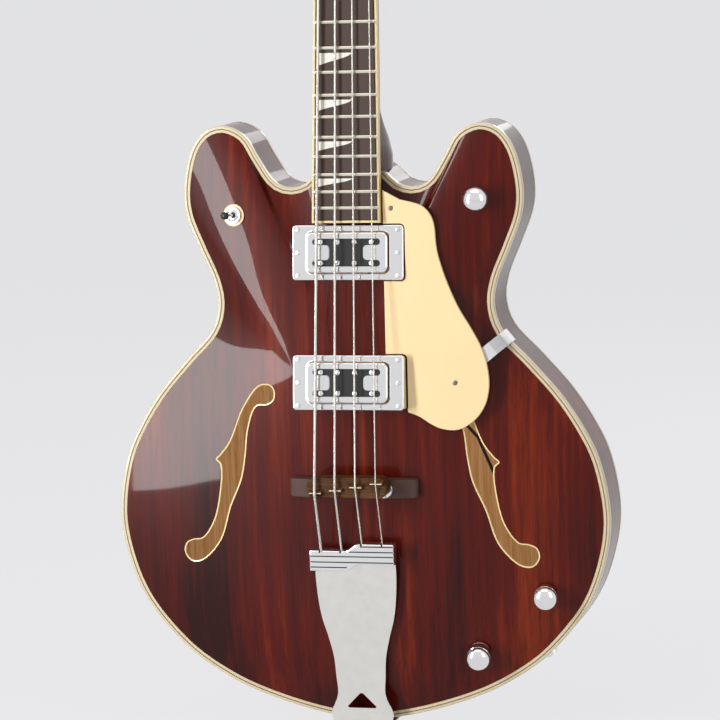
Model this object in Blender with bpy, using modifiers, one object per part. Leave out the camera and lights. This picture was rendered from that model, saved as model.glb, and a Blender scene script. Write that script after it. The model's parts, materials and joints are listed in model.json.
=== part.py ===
"""Electric bass guitar with a hollow arched body, in metres.

The origin is at the nut, on the centre line, in the plane of the fingerboard's face. +Z runs to
the headstock, +X to the treble side and -Y to the front. The body stands upright, and the neck
leans back from it. Body pieces are drawn in the body's frame, whose origin is on the front
binding's plane at the last fret. Neck and headstock pieces are drawn in frames of their own.
"""

import math

import bmesh
import bpy
import numpy as np
from mathutils import Matrix, Vector
from mathutils.bvhtree import BVHTree

# Clearance between touching pieces, and the running clearance of shafts
GAP = 0.0003
RUNNING_GAP = 0.0004

# Sides of round pieces: knobs and washers, small turned pieces, and drilled holes
KNOB_SIDES = 16
SMALL_SIDES = 12
HOLE_SIDES = 14
SCREW_SIDES = 10
POLE_SIDES = 8

# Scale and neck
SCALE_LENGTH = 0.8128
FRET_COUNT = 22
NECK_PITCH = math.radians(6.4)
HEAD_TILT = math.radians(12.0)
NUT_HALF_WIDTH = 0.0225
NUT_THICKNESS = 0.0055
BOARD_END_HALF_WIDTH = 0.0294
BOARD_PAST_LAST_FRET = 0.0125
BOARD_THICKNESS = 0.0062
BOARD_BINDING_WIDTH = 0.0020
FRET_WIDTH = 0.0027
FRET_HEIGHT = 0.0010
BOARD_OVER_BINDING_PLANE = 0.0207
NECK_DEPTH_AT_NUT = 0.0205
NECK_DEPTH_AT_HEEL = 0.0222
HEEL_START = 0.080
HEEL_CAP = 0.050
TONGUE_DEPTH = 0.006
HEEL_FLARE = 0.0045
HEAD_THICKNESS = 0.0150
HEAD_RECESS = 0.0002
HEAD_HALF_OUTLINE = (
    (0.0245, 0.0030), (0.0268, 0.0120), (0.0345, 0.0260), (0.0405, 0.0450), (0.0430, 0.0750),
    (0.0415, 0.1050), (0.0400, 0.1350), (0.0385, 0.1650), (0.0320, 0.1780), (0.0180, 0.1835),
    (0.0, 0.1860),
)
ROD_WIDTH = 0.0054
ROD_DEPTH = 0.0080
ROD_LENGTH = 0.510
ROD_NUT_POCKET = 0.018
ROD_COVER_THICKNESS = 0.0020

# Strings, from the thickest to the thinnest
STRING_NAMES = ("e", "a", "d", "g")
STRING_DIAMETERS = (0.00267, 0.00216, 0.00165, 0.00114)
STRING_SPREAD_AT_NUT = 0.0342
STRING_SPREAD_AT_SADDLE = 0.0528
STRING_SPREAD_AT_ANCHOR = 0.0536
STRING_COMPENSATIONS = (0.0117, 0.0093, 0.0064, 0.0032)
STRING_OVER_FIRST_FRET = 0.0006
STRING_OVER_BOARD_AT_SADDLE = 0.0060
STRING_TURNS = 2
TURN_POINTS = 24
TURN_GAP = 0.0008
STRING_TAIL = 0.0040
BALL_END_RADIUS = 0.0028

# Body
BODY_DEPTH = 0.057
PLATE_THICKNESS = 0.0050
TOP_ARCH = 0.0170
BACK_ARCH = 0.0150
BINDING_WIDTH = 0.0055
BINDING_DEPTH = 0.0050
RIM_THICKNESS = 0.0050
LINING_WIDTH = 0.0160
LINING_DEPTH = 0.0127
OUTLINE_POINTS = 34
SPINE_TOP = -0.140
SPINE_BOTTOM = -0.330
ARCH_POWER = 2.2
TOP_RINGS = (1.0, 0.88, 0.66, 0.40, 0.15)
BACK_RINGS = (1.0, 0.82, 0.52, 0.20)
# Half of the body's outline, from the neck's joint round to the tail, as (x, z)
HALF_OUTLINE = (
    (0.0, 0.0330), (0.0180, 0.0330), (0.0270, 0.0312), (0.0330, 0.0255), (0.0400, 0.0190),
    (0.0530, 0.0155), (0.0660, 0.0200), (0.0800, 0.0400), (0.0925, 0.0604), (0.1105, 0.0687),
    (0.1258, 0.0650), (0.1360, 0.0549), (0.1428, 0.0397), (0.1475, 0.0120), (0.1456, -0.0082),
    (0.1351, -0.0358), (0.1236, -0.0633), (0.1203, -0.0830), (0.1261, -0.1047),
    (0.1514, -0.1325), (0.1759, -0.1605), (0.1943, -0.1886), (0.2073, -0.2168),
    (0.2155, -0.2670), (0.2085, -0.3090), (0.1934, -0.3440), (0.1606, -0.3830),
    (0.1330, -0.4035), (0.1000, -0.4205), (0.0420, -0.4385), (0.0, -0.4440),
)

# Sound holes: each side of the bass one from the upper lobe down, as (x, z)
F_HOLE_OUTER = (
    (-0.0778, -0.1507), (-0.0850, -0.1530), (-0.0990, -0.1720), (-0.1112, -0.2004),
    (-0.1200, -0.2120), (-0.1241, -0.2162), (-0.1200, -0.2210), (-0.1232, -0.2545),
    (-0.1290, -0.2720), (-0.1390, -0.2850), (-0.1470, -0.2865),
)
F_HOLE_INNER = (
    (-0.1540, -0.2900), (-0.1560, -0.2985), (-0.1500, -0.3060), (-0.1398, -0.3050),
    (-0.1221, -0.2869), (-0.1118, -0.2574), (-0.1010, -0.2324), (-0.0970, -0.2122),
    (-0.0938, -0.1883), (-0.0862, -0.1700), (-0.0760, -0.1685), (-0.0700, -0.1640),
    (-0.0695, -0.1560), (-0.0730, -0.1515),
)

# Blocks and bars inside the body
NECK_BLOCK_HALF_WIDTH = 0.020
NECK_BLOCK_LENGTH = 0.034
TAIL_BLOCK_HALF_WIDTH = 0.025
TAIL_BLOCK_LENGTH = 0.025
BAR_X = 0.062
BAR_WIDTH = 0.0080
BAR_CLEARANCE = 0.0009
BAR_DEPTH = 0.0120
BAR_TOP = -0.025
BAR_BOTTOM = -0.330

# Pickups, centred between their rows of screws
PICKUP_CENTRES = (-0.0378, -0.1465)
PICKUP_NAMES = ("neck", "bridge")
RING_HALF_LENGTH = 0.0482
RING_HALF_WIDTH = 0.0232
RING_CORNER = 0.0030
RING_BEHIND_STRINGS = 0.0115
COVER_HALF_LENGTH = 0.0352
COVER_HALF_WIDTH = 0.0170
COVER_CORNER = 0.0050
COVER_WALL = 0.0008
COVER_DEPTH = 0.0180
COVER_BEHIND_STRINGS = 0.0060
WINDOW_HALF_LENGTH = 0.0294
WINDOW_HALF_WIDTH = 0.0120
WINDOW_TAB_REACH = 0.0146
WINDOW_TAB_HALF_WIDTH = 0.0060
POLE_SPREAD = 0.0440
POLE_ROW = 0.0088
POLE_HEAD_RADIUS = 0.0024
POLE_STAND = 0.0012
HEIGHT_SCREW_X = 0.0435
HEIGHT_SCREW_RADIUS = 0.0013
BASE_PLATE_THICKNESS = 0.0015
EAR_HALF_WIDTH = 0.0040
EAR_MARGIN = 0.0022
EAR_TAPER = 0.0006
RING_WALL = 0.0025
SCREW_HEAD_RADIUS = 0.0023
SCREW_HEAD_HEIGHT = 0.0014

# Bridge; the saddle stands at the strings' mean length past the body's top end, and a little more
SADDLE_SET_BACK = 0.00688
SADDLE_Z = -(SCALE_LENGTH * 2 ** (-FRET_COUNT / 12) + SADDLE_SET_BACK) * math.cos(NECK_PITCH)
BRIDGE_Z = SADDLE_Z - 0.0040
BASE_HALF_LENGTH = 0.0555
BASE_HALF_WIDTH = 0.0080
BASE_FRONT = -0.0285
BASE_END_FRONT = -0.0240
BASE_SHOULDER_X = 0.0380
STUD_INTO_SADDLE = 0.0080
STUD_X = 0.0285
STUD_RADIUS = 0.0020
WHEEL_RADIUS = 0.0075
WHEEL_THICKNESS = 0.0040
SADDLE_HALF_LENGTH = 0.0350
SADDLE_HALF_WIDTH = 0.00885
SADDLE_DEPTH = 0.0150
CREST_WIDTH = 0.0030
CREST_LENGTH = 0.0120

# Tailpiece
ANCHOR_HALF_WIDTH = 0.0368
ANCHOR_TOPS = (-0.2890, -0.2830)
ANCHOR_HEIGHT = 0.0180
ANCHOR_STEP_HALF_WIDTH = 0.0060
ANCHOR_BALL_DOWN = 0.0090
ANCHOR_BALL_Y = -0.0357
ANCHOR_FRONT = -0.0385
ANCHOR_BACK = -0.0280
ANCHOR_RIDGES = 4
ANCHOR_GROOVE = 0.0007
TAIL_SHEET = 0.0022
TAIL_WIDTHS = (
    (-0.290, 0.0340), (-0.308, 0.0355), (-0.335, 0.0340), (-0.351, 0.0315), (-0.367, 0.0270),
    (-0.385, 0.0230), (-0.402, 0.0218), (-0.418, 0.0210), (-0.427, 0.0245), (-0.435, 0.0272),
    (-0.4404, 0.0262),
)
TAIL_PLATE_FOOT_Y = -0.0150
TAIL_BEND = 0.0050
TAIL_STRAP_HALF_WIDTH = 0.0250
TAIL_STRAP_END_Y = 0.0380
TAIL_HOLE_APEX = -0.4156
TAIL_HOLE_BASE = -0.4300
TAIL_HOLE_HALF_WIDTH = 0.0140

# Pickguard: its outline past the straight left edge, as (x, z)
GUARD_THICKNESS = 0.0025
GUARD_TOP_Y = -0.0150
GUARD_PITCH = math.radians(2.0)
GUARD_LEFT_X = 0.0305
GUARD_TOP_Z = 0.0141
GUARD_OUTLINE = (
    (0.0450, 0.0064), (0.0633, 0.0014), (0.0702, -0.0048), (0.0742, -0.0139), (0.0764, -0.0361),
    (0.0829, -0.0585), (0.0935, -0.0836), (0.1043, -0.1017), (0.1124, -0.1171),
    (0.1176, -0.1338), (0.1189, -0.1506), (0.1154, -0.1661), (0.1065, -0.1788),
    (0.0921, -0.1874), (0.0779, -0.1868), (0.0694, -0.1833), (0.0581, -0.1763),
    (0.0490, -0.1730),
)
GUARD_SCREW = (0.0376, -0.0009)
GUARD_SPACER_RADIUS = 0.0028
GUARD_RING_CLEARANCE = 0.0010
BRACKET_PLACE = (0.1320, -0.1120)
BRACKET_LENGTH = 0.0400
BRACKET_CLIP_DEPTH = 0.0100
BRACKET_CLEARANCE = 0.0005
BRACKET_HALF_WIDTH = 0.0060
BRACKET_THICKNESS = 0.0016

# Controls
KNOB_NAMES = ("master_volume", "neck_volume", "tone")
KNOB_PLACES = ((0.1093, 0.0056), (0.1601, -0.3296), (0.1019, -0.3807))
KNOB_RADIUS = 0.0100
KNOB_HEIGHT = 0.0220
KNOB_STAND = 0.0040
POT_BUSH_RADIUS = 0.0045
POT_SHAFT_RADIUS = 0.0030
POT_CAN_RADIUS = 0.0120
POT_CAN_DEPTH = 0.0110
POT_NUT_RADIUS = 0.0070
POT_NUT_HEIGHT = 0.0022
SWITCH_PLACE = (-0.1010, -0.0066)
SWITCH_WASHER_RADIUS = 0.0095
SWITCH_WASHER_THICKNESS = 0.0015
SWITCH_BUSH_RADIUS = 0.0058
SWITCH_NUT_RADIUS = 0.0072
SWITCH_NUT_HEIGHT = 0.0030
SWITCH_LEVER_RADIUS = 0.0016
SWITCH_LEVER_LENGTH = 0.0170
SWITCH_TIP_RADIUS = 0.0034
SWITCH_LEAN = math.radians(12.0)
SWITCH_CAN_RADIUS = 0.0110
SWITCH_CAN_DEPTH = 0.0160
SWITCH_BORE_RADIUS = 0.0036
SWITCH_BORE_DEPTH = 0.0090
SWITCH_BALL_RADIUS = 0.0032
SWITCH_BUSH_TOP = 0.0062
JACK_PLACE = (0.1590, -0.3845)
JACK_BORE_RADIUS = 0.0033
JACK_NUT_RADIUS = 0.0065
JACK_STAND = 0.0035
JACK_BARREL_RADIUS = 0.0048
JACK_BODY_RADIUS = 0.0080
JACK_BODY_LENGTH = 0.0200
JACK_CLEARANCE = 0.0012
UNDER_PLATE_CLEARANCE = 0.0006
CABLE_RADIUS = 0.0014

# Strap buttons
BUTTON_RADIUS = 0.0070
BUTTON_HEIGHT = 0.0120
BUTTON_SHANK_RADIUS = 0.0020
BUTTON_SHANK_LENGTH = 0.0120

# Tuners: post places on the headstock, as (x, z), for the bass side
POST_PLACES = ((-0.0270, 0.0550), (-0.0215, 0.1230))
POST_RADIUS = 0.0050
POST_HEIGHT = 0.0200
FIRST_TURN_HEIGHT = 0.0080
BARREL_WALL = 0.0015
FERRULE_RADIUS = 0.0090
FERRULE_HEIGHT = 0.0022
TUNER_PLATE_HALF_WIDTH = 0.0150
TUNER_PLATE_BELOW = 0.0130
TUNER_PLATE_ABOVE = 0.0220
TUNER_PLATE_THICKNESS = 0.0020
GEAR_RADIUS = 0.0090
GEAR_THICKNESS = 0.0050
WORM_RADIUS = 0.0035
WORM_HALF_LENGTH = 0.0060
KEY_SHAFT_RADIUS = 0.0020
LUG_THICKNESS = 0.0030
KEY_REACH = 0.0560
KEY_BUTTON_HALF_LENGTH = 0.0095
KEY_BUTTON_HALF_HEIGHT = 0.0130
KEY_BUTTON_THICKNESS = 0.0070

# Finishes: colour, roughness, metallic
FINISHES = {
    "walnut_gloss": ((0.130, 0.020, 0.006), 0.18, 0.0),
    "bare_wood": ((0.55, 0.36, 0.18), 0.65, 0.0),
    "cream_binding": ((0.80, 0.72, 0.52), 0.30, 0.0),
    "fingerboard_wood": ((0.060, 0.038, 0.032), 0.55, 0.0),
    "bridge_wood": ((0.045, 0.022, 0.014), 0.50, 0.0),
    "cream_plastic": ((0.86, 0.67, 0.38), 0.30, 0.0),
    "chrome": ((0.80, 0.80, 0.80), 0.10, 1.0),
    "nickel_wire": ((0.62, 0.60, 0.57), 0.30, 1.0),
    "black_plastic": ((0.010, 0.010, 0.010), 0.40, 0.0),
    "steel": ((0.45, 0.45, 0.45), 0.40, 1.0),
    "bone": ((0.80, 0.76, 0.65), 0.45, 0.0),
    "cable_sheath": ((0.02, 0.05, 0.20), 0.50, 0.0),
}


def clear_scene():
    """Removes everything that the scene starts with."""
    for obj in list(bpy.data.objects):
        bpy.data.objects.remove(obj, do_unlink=True)


def new_collection(name):
    found = bpy.data.collections.new(name)
    bpy.context.scene.collection.children.link(found)
    return found


clear_scene()
PIECES = new_collection("electric_bass_guitar")
CUTTERS = new_collection("cutters")


def frame(name, parent=None, location=(0, 0, 0), tilt=0.0, turn=0.0):
    """An empty to place pieces by: tilt is about X, and turn is about the tilted Z."""
    empty = bpy.data.objects.new(name, None)
    PIECES.objects.link(empty)
    empty.parent = parent
    rotation = Matrix.Rotation(tilt, 4, "X") @ Matrix.Rotation(turn, 4, "Z")
    empty.matrix_basis = Matrix.Translation(location) @ rotation
    bpy.context.view_layer.update()
    return empty


def finish(name):
    """The named finish as a material."""
    if name in bpy.data.materials:
        return bpy.data.materials[name]
    colour, roughness, metallic = FINISHES[name]
    material = bpy.data.materials.new(name)
    material.use_nodes = True
    shader = material.node_tree.nodes["Principled BSDF"]
    shader.inputs["Base Color"].default_value = (*colour, 1.0)
    shader.inputs["Roughness"].default_value = roughness
    shader.inputs["Metallic"].default_value = metallic
    material.diffuse_color = (*colour, 1.0)
    return material


def add(name, mesh, parent, material=None, matrix=None):
    """An object for this mesh: a piece when it has a material, and a hidden cutter when not."""
    obj = bpy.data.objects.new(name, mesh)
    (PIECES if material else CUTTERS).objects.link(obj)
    obj.parent = parent
    if matrix is not None:
        obj.matrix_basis = matrix
    if material:
        own = finish(material).copy()
        own.name = f"{name}_{material}"
        mesh.materials.clear()
        mesh.materials.append(own)
        mesh.shade_smooth()
        mesh.set_sharp_from_angle(angle=math.radians(35))
    else:
        obj.hide_render = True
        obj.display_type = "WIRE"
    return obj


def mesh_from(build, name="shape"):
    mesh = bpy.data.meshes.new(name)
    build.to_mesh(mesh)
    build.free()
    return mesh


def along(direction):
    """The rotation that turns +Z to this direction."""
    return Vector(direction).to_track_quat("Z", "Y").to_matrix().to_4x4()


def block_mesh(low, high):
    """A box between two corners."""
    low, high = Vector(low), Vector(high)
    build = bmesh.new()
    bmesh.ops.create_cube(build, size=1.0)
    bmesh.ops.scale(build, vec=high - low, verts=build.verts)
    bmesh.ops.translate(build, vec=(high + low) / 2, verts=build.verts)
    return mesh_from(build)


def rod_mesh(start, end, radius, sides=HOLE_SIDES):
    """A cylinder from one point to another."""
    start, end = Vector(start), Vector(end)
    build = bmesh.new()
    bmesh.ops.create_cone(
        build, cap_ends=True, segments=sides, radius1=radius, radius2=radius,
        depth=(end - start).length,
    )
    build.transform(Matrix.Translation((start + end) / 2) @ along(end - start))
    return mesh_from(build)


def evaluated_mesh(obj):
    """The object's mesh with its modifiers applied, in its own space."""
    bpy.context.view_layer.update()
    graph = bpy.context.evaluated_depsgraph_get()
    return bpy.data.meshes.new_from_object(obj.evaluated_get(graph), depsgraph=graph)


def weld(mesh, distance=1e-6):
    build = bmesh.new()
    build.from_mesh(mesh)
    bmesh.ops.remove_doubles(build, verts=build.verts, dist=distance)
    bmesh.ops.recalc_face_normals(build, faces=build.faces)
    build.to_mesh(mesh)
    build.free()
    return mesh


def turned_mesh(profile, sides=SMALL_SIDES, bore=False, place=None):
    """A profile of (radius, height) points turned about Z by a Screw modifier.

    The points run down the outer side. A profile with a bore is closed on itself.
    """
    build = bmesh.new()
    points = [build.verts.new((radius, 0, height)) for radius, height in profile]
    for first, second in zip(points, points[1:]):
        build.edges.new((first, second))
    if bore:
        build.edges.new((points[-1], points[0]))
    helper = bpy.data.objects.new("turning", mesh_from(build))
    CUTTERS.objects.link(helper)
    screw = helper.modifiers.new("turn", "SCREW")
    screw.axis = "Z"
    screw.angle = math.tau
    screw.steps = screw.render_steps = sides
    screw.use_merge_vertices = True
    screw.merge_threshold = 1e-6
    mesh = weld(evaluated_mesh(helper))
    bpy.data.objects.remove(helper, do_unlink=True)
    if place is not None:
        mesh.transform(place)
    return mesh


def curve_mesh(curve):
    """The curve's surface as a welded mesh."""
    helper = bpy.data.objects.new("drawing", curve)
    CUTTERS.objects.link(helper)
    mesh = weld(evaluated_mesh(helper))
    bpy.data.objects.remove(helper, do_unlink=True)
    return mesh


def flat_mesh(loops, front, back):
    """A flat outline, drawn as closed loops of (x, z), between the planes y = front and y = back."""
    curve = bpy.data.curves.new("outline", "CURVE")
    curve.dimensions = "2D"
    curve.fill_mode = "BOTH"
    curve.extrude = (back - front) / 2
    for loop in loops:
        spline = curve.splines.new("POLY")
        spline.points.add(len(loop) - 1)
        for point, (x, z) in zip(spline.points, loop):
            point.co = (x, z, 0, 1)
        spline.use_cyclic_u = True
    mesh = curve_mesh(curve)
    upright = Matrix.Rotation(math.radians(90), 4, "X")
    mesh.transform(Matrix.Translation((0, (front + back) / 2, 0)) @ upright)
    return mesh


def tube_mesh(points, radius, resolution=2):
    """A round tube through these points, with filled caps."""
    curve = bpy.data.curves.new("tube", "CURVE")
    curve.dimensions = "3D"
    curve.bevel_depth = radius
    curve.bevel_resolution = resolution
    curve.use_fill_caps = True
    spline = curve.splines.new("POLY")
    spline.points.add(len(points) - 1)
    for point, place in zip(spline.points, points):
        point.co = (*place, 1)
    return curve_mesh(curve)


def loft_mesh(rings, closed=False):
    """Faces from ring to ring. The ends get caps, unless the last ring joins the first."""
    build = bmesh.new()
    rows = [[build.verts.new(point) for point in ring] for ring in rings]
    count = len(rows[0])
    pairs = list(zip(rows, rows[1:]))
    if closed:
        pairs.append((rows[-1], rows[0]))
    for first, second in pairs:
        for i in range(count):
            j = (i + 1) % count
            build.faces.new((first[i], first[j], second[j], second[i]))
    if not closed:
        build.faces.new(rows[0])
        build.faces.new(rows[-1])
    bmesh.ops.recalc_face_normals(build, faces=build.faces)
    return mesh_from(build)


def combine(obj, mesh, operation, parent=None, matrix=None):
    """Adds a Boolean with this mesh, which is drawn in the frame of parent or of the object."""
    other = add(f"{obj.name}_{operation.lower()}", mesh, parent or obj.parent, matrix=matrix)
    step = obj.modifiers.new(operation.lower(), "BOOLEAN")
    step.operation = operation
    step.solver = "EXACT"
    step.object = other
    return other


def cut(obj, mesh, parent=None, matrix=None):
    return combine(obj, mesh, "DIFFERENCE", parent, matrix)


def join(obj, mesh, parent=None, matrix=None):
    return combine(obj, mesh, "UNION", parent, matrix)


def rounded_rectangle(half_x, half_z, corner, steps=4, centre=(0, 0)):
    """A rectangle with quarter-circle corners, as (x, z) points."""
    points = []
    for quarter, (sx, sz) in enumerate(((1, 1), (-1, 1), (-1, -1), (1, -1))):
        for step in range(steps + 1):
            angle = math.radians(90) * (quarter + step / steps)
            x = sx * (half_x - corner) + corner * math.cos(angle)
            z = sz * (half_z - corner) + corner * math.sin(angle)
            points.append((centre[0] + x, centre[1] + z))
    return points


def through(points, samples=8, closed=False):
    """A smooth curve through the points, as a centripetal Catmull-Rom spline."""
    points = [np.array(point, float) for point in points]
    if closed:
        ends = [points[-1], *points, points[0], points[1]]
    else:
        ends = [2 * points[0] - points[1], *points, 2 * points[-1] - points[-2]]
    curve = []
    for a, b, c, d in zip(ends, ends[1:], ends[2:], ends[3:]):
        t1 = np.linalg.norm(b - a) ** 0.5
        t2 = t1 + np.linalg.norm(c - b) ** 0.5
        t3 = t2 + np.linalg.norm(d - c) ** 0.5
        for t in np.linspace(t1, t2, samples, endpoint=False):
            ab = a + (b - a) * t / t1
            bc = b + (c - b) * (t - t1) / (t2 - t1)
            cd = c + (d - c) * (t - t2) / (t3 - t2)
            abc = ab + (bc - ab) * t / t2
            bcd = bc + (cd - bc) * (t - t1) / (t3 - t1)
            curve.append(abc + (bcd - abc) * (t - t1) / (t2 - t1))
    if not closed:
        curve.append(points[-1])
    return np.array(curve)


def fret_distance(number):
    """How far this fret lies from the nut."""
    return SCALE_LENGTH * (1 - 2 ** (-number / 12))


# Frames: the neck's z runs up the fingerboard, and the body stands upright
LAST_FRET = fret_distance(FRET_COUNT)
BOARD_LENGTH = LAST_FRET + BOARD_PAST_LAST_FRET
HEAD_FACE = BOARD_THICKNESS + GAP
NECK = frame("neck_frame", tilt=-NECK_PITCH)
HEAD = frame("head_frame", NECK, (0, HEAD_FACE, NUT_THICKNESS), tilt=-HEAD_TILT)
BODY_Y = BOARD_OVER_BINDING_PLANE - LAST_FRET * math.sin(NECK_PITCH)
BODY_Z = -LAST_FRET * math.cos(NECK_PITCH)
BODY = frame("body_frame", location=(0, BODY_Y, BODY_Z))


def between(point, source, target):
    """The point of one frame, in another."""
    return target.matrix_world.inverted() @ source.matrix_world @ Vector(point)


def board_half_width(distance):
    """Half of the neck's width at this distance from the nut."""
    share = distance / BOARD_LENGTH
    return NUT_HALF_WIDTH + (BOARD_END_HALF_WIDTH - NUT_HALF_WIDTH) * share


def body_outline():
    """The body's closed outline, clockwise from the neck, with points closer where it bends."""
    samples = 24
    other_half = [(-x, z) for x, z in reversed(HALF_OUTLINE[1:-1])]
    fine = through([*HALF_OUTLINE, *other_half], samples, closed=True)
    fine = fine[: (len(HALF_OUTLINE) - 1) * samples + 1]
    steps = np.diff(fine, axis=0)
    lengths = np.linalg.norm(steps, axis=1)
    headings = np.unwrap(np.arctan2(steps[:, 1], steps[:, 0]))
    bends = np.abs(np.gradient(headings)) / lengths
    bends = np.convolve(np.pad(bends, samples // 2, mode="edge"), np.ones(samples) / samples, "same")
    bends = bends[samples // 2 : samples // 2 + len(lengths)]
    weight = np.concatenate([[0], np.cumsum(lengths * (1.2 + np.sqrt(bends)))])
    picked = np.interp(np.linspace(0, weight[-1], OUTLINE_POINTS), weight, np.arange(len(fine)))
    half = np.stack([np.interp(picked, np.arange(len(fine)), fine[:, axis]) for axis in (0, 1)], 1)
    for extreme in (fine[np.argmax(fine[:, 0])], fine[np.argmax(fine[:, 1])]):
        half[np.argmin(np.linalg.norm(half - extreme, axis=1))] = extreme
    half[0] = fine[0]
    mirrored = half[-2:0:-1] * (-1, 1)
    return np.concatenate([half, mirrored])


def inset(outline, distance):
    """The clockwise outline moved inwards, and less where a tight bend leaves no room."""
    before, after = np.roll(outline, 1, axis=0), np.roll(outline, -1, axis=0)
    tangent = after - before
    tangent /= np.linalg.norm(tangent, axis=1)[:, None]
    inward = np.stack([tangent[:, 1], -tangent[:, 0]], axis=1)
    first, second = outline - before, after - outline
    cross = first[:, 0] * second[:, 1] - first[:, 1] * second[:, 0]
    sides = np.linalg.norm(first, axis=1) * np.linalg.norm(second, axis=1)
    turning = np.arcsin(np.clip(-cross / sides, -1, 1))
    spans = np.linalg.norm(second, axis=1)
    radius = np.full(len(outline), 1.0)
    convex = turning > 1e-3
    radius[convex] = ((spans + np.roll(spans, 1)) / 2)[convex] / turning[convex]
    travelled = np.concatenate([[0], np.cumsum(spans)[:-1]])
    apart = np.abs(travelled[:, None] - travelled[None, :])
    apart = np.minimum(apart, spans.sum() - apart)
    room = (0.8 * radius[None, :] + 0.6 * apart).min(axis=1)
    return outline + inward * np.minimum(distance, room)[:, None]


OUTLINE = body_outline()
PLATE_OUTLINE = inset(OUTLINE, BINDING_WIDTH + GAP)


def loop_at(outline, y):
    return [(x, y, z) for x, z in outline]


def arch_rings(height, shares, level, side):
    """Rings of an arched plate's outside, from its edge to the long flat at its middle."""
    spine = np.stack([np.zeros(len(OUTLINE)), np.clip(PLATE_OUTLINE[:, 1], SPINE_BOTTOM, SPINE_TOP)], 1)
    rings = []
    for share in shares:
        rise = height * (1 - share**ARCH_POWER)
        rings.append(loop_at(spine + share * (PLATE_OUTLINE - spine), level + side * rise))
    return rings


TOP_SURFACE = arch_rings(TOP_ARCH, TOP_RINGS, 0.0, -1)
BACK_SURFACE = arch_rings(BACK_ARCH, BACK_RINGS, BODY_DEPTH, 1)


def surface_tree(rings):
    """The surface through these rings, to measure heights on."""
    count = len(rings[0])
    faces = [list(range((len(rings) - 1) * count, len(rings) * count))]
    for row in range(len(rings) - 1):
        for i in range(count):
            j = (i + 1) % count
            faces.append([row * count + i, row * count + j, (row + 1) * count + j, (row + 1) * count + i])
    return BVHTree.FromPolygons([Vector(point) for ring in rings for point in ring], faces)


TOP_TREE = surface_tree(TOP_SURFACE)


def top_at(x, z):
    """The place on the top's outside at this x and z, and its outward normal."""
    place, normal, _, _ = TOP_TREE.ray_cast(Vector((x, -1, z)), Vector((0, 1, 0)))
    return place, normal if normal.y < 0 else -normal


def under_top(x, z):
    """The height of the top's inside at this x and z, with clearance."""
    place, normal = top_at(x, z)
    return place.y + PLATE_THICKNESS / -normal.y + BAR_CLEARANCE


def shifted(rings, y):
    return [[(px, py + y, pz) for px, py, pz in ring] for ring in rings]


def body_envelope():
    """The body's whole outside with clearance, to fit other pieces against."""
    wide = inset(OUTLINE, -GAP)
    rings = shifted(TOP_SURFACE, -GAP)[::-1]
    rings += [loop_at(wide, -GAP), loop_at(wide, BODY_DEPTH + GAP)]
    rings += shifted(BACK_SURFACE, GAP)
    return loft_mesh(rings)


def arched_plate(name, rings, material):
    """An open arched surface with the plate's thickness behind it."""
    build = bmesh.new()
    rows = [[build.verts.new(point) for point in ring] for ring in rings]
    for first, second in zip(rows, rows[1:]):
        for i in range(len(first)):
            j = (i + 1) % len(first)
            build.faces.new((first[i], first[j], second[j], second[i]))
    build.faces.new(rows[-1])
    bmesh.ops.recalc_face_normals(build, faces=build.faces)
    build.faces.ensure_lookup_table()
    outward = rings[-1][0][1] - rings[0][0][1]
    if build.faces[-1].normal.y * outward < 0:
        bmesh.ops.reverse_faces(build, faces=build.faces)
    obj = add(name, mesh_from(build), BODY, material)
    shell = obj.modifiers.new("thickness", "SOLIDIFY")
    shell.thickness = PLATE_THICKNESS
    shell.offset = -1
    return obj


def f_hole(side):
    """A sound hole's outline. The side is 1 for the bass and -1 for the treble."""
    return [(side * x, z) for x, z in through([*F_HOLE_OUTER, *F_HOLE_INNER], 2, closed=True)]


def pickup_cavity():
    """The cut through the top for a pickup: its body, and a slot for the hanging ears, as (x, z)."""
    half_x = COVER_HALF_LENGTH + 3 * GAP
    half_z = COVER_HALF_WIDTH + 3 * GAP
    ear_x = HEIGHT_SCREW_X + EAR_MARGIN + 2 * GAP
    ear_z = EAR_HALF_WIDTH + 2 * GAP
    quarter = [(half_x, half_z), (half_x, ear_z), (ear_x, ear_z - EAR_TAPER)]
    loop = quarter + [(x, -z) for x, z in reversed(quarter)]
    loop += [(-x, -z) for x, z in quarter] + [(-x, z) for x, z in reversed(quarter)]
    return loop


def round_hole(obj, place, radius, normal=None, reach=0.03):
    """Drills the object at a place of the top, square to the arch there."""
    centre, outward = top_at(*place)
    outward = normal or outward
    cut(obj, rod_mesh(centre + outward * reach, centre - outward * reach, radius), BODY)


def make_top():
    top = arched_plate("body_top", TOP_SURFACE, "walnut_gloss")
    for side in (1, -1):
        cut(top, flat_mesh([f_hole(side)], -0.06, 0.02))
    for place in KNOB_PLACES:
        round_hole(top, place, POT_BUSH_RADIUS + GAP)
    round_hole(top, SWITCH_PLACE, SWITCH_BUSH_RADIUS + GAP)
    return top


def make_rim():
    """The rim with its linings, which carry the plates' edges."""
    front = BINDING_DEPTH + GAP
    back = BODY_DEPTH - front
    section = (
        (0, front), (LINING_WIDTH, front), (LINING_WIDTH, front + LINING_DEPTH),
        (RIM_THICKNESS, front + LINING_DEPTH), (RIM_THICKNESS, back - LINING_DEPTH),
        (LINING_WIDTH, back - LINING_DEPTH), (LINING_WIDTH, back), (0, back),
    )
    loops = [loop_at(inset(OUTLINE, reach), y) for reach, y in section]
    return add("body_rim", loft_mesh(loops, closed=True), BODY, "walnut_gloss")


def make_binding(name, front):
    inner = inset(OUTLINE, BINDING_WIDTH)
    back = front + BINDING_DEPTH
    loops = [loop_at(OUTLINE, front), loop_at(inner, front), loop_at(inner, back), loop_at(OUTLINE, back)]
    return add(name, loft_mesh(loops, closed=True), BODY, "cream_binding")


def height_at(points, x):
    """The z of this run of outline points where it passes x."""
    order = np.argsort(points[:, 0])
    return float(np.interp(x, points[order, 0], points[order, 1]))


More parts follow.
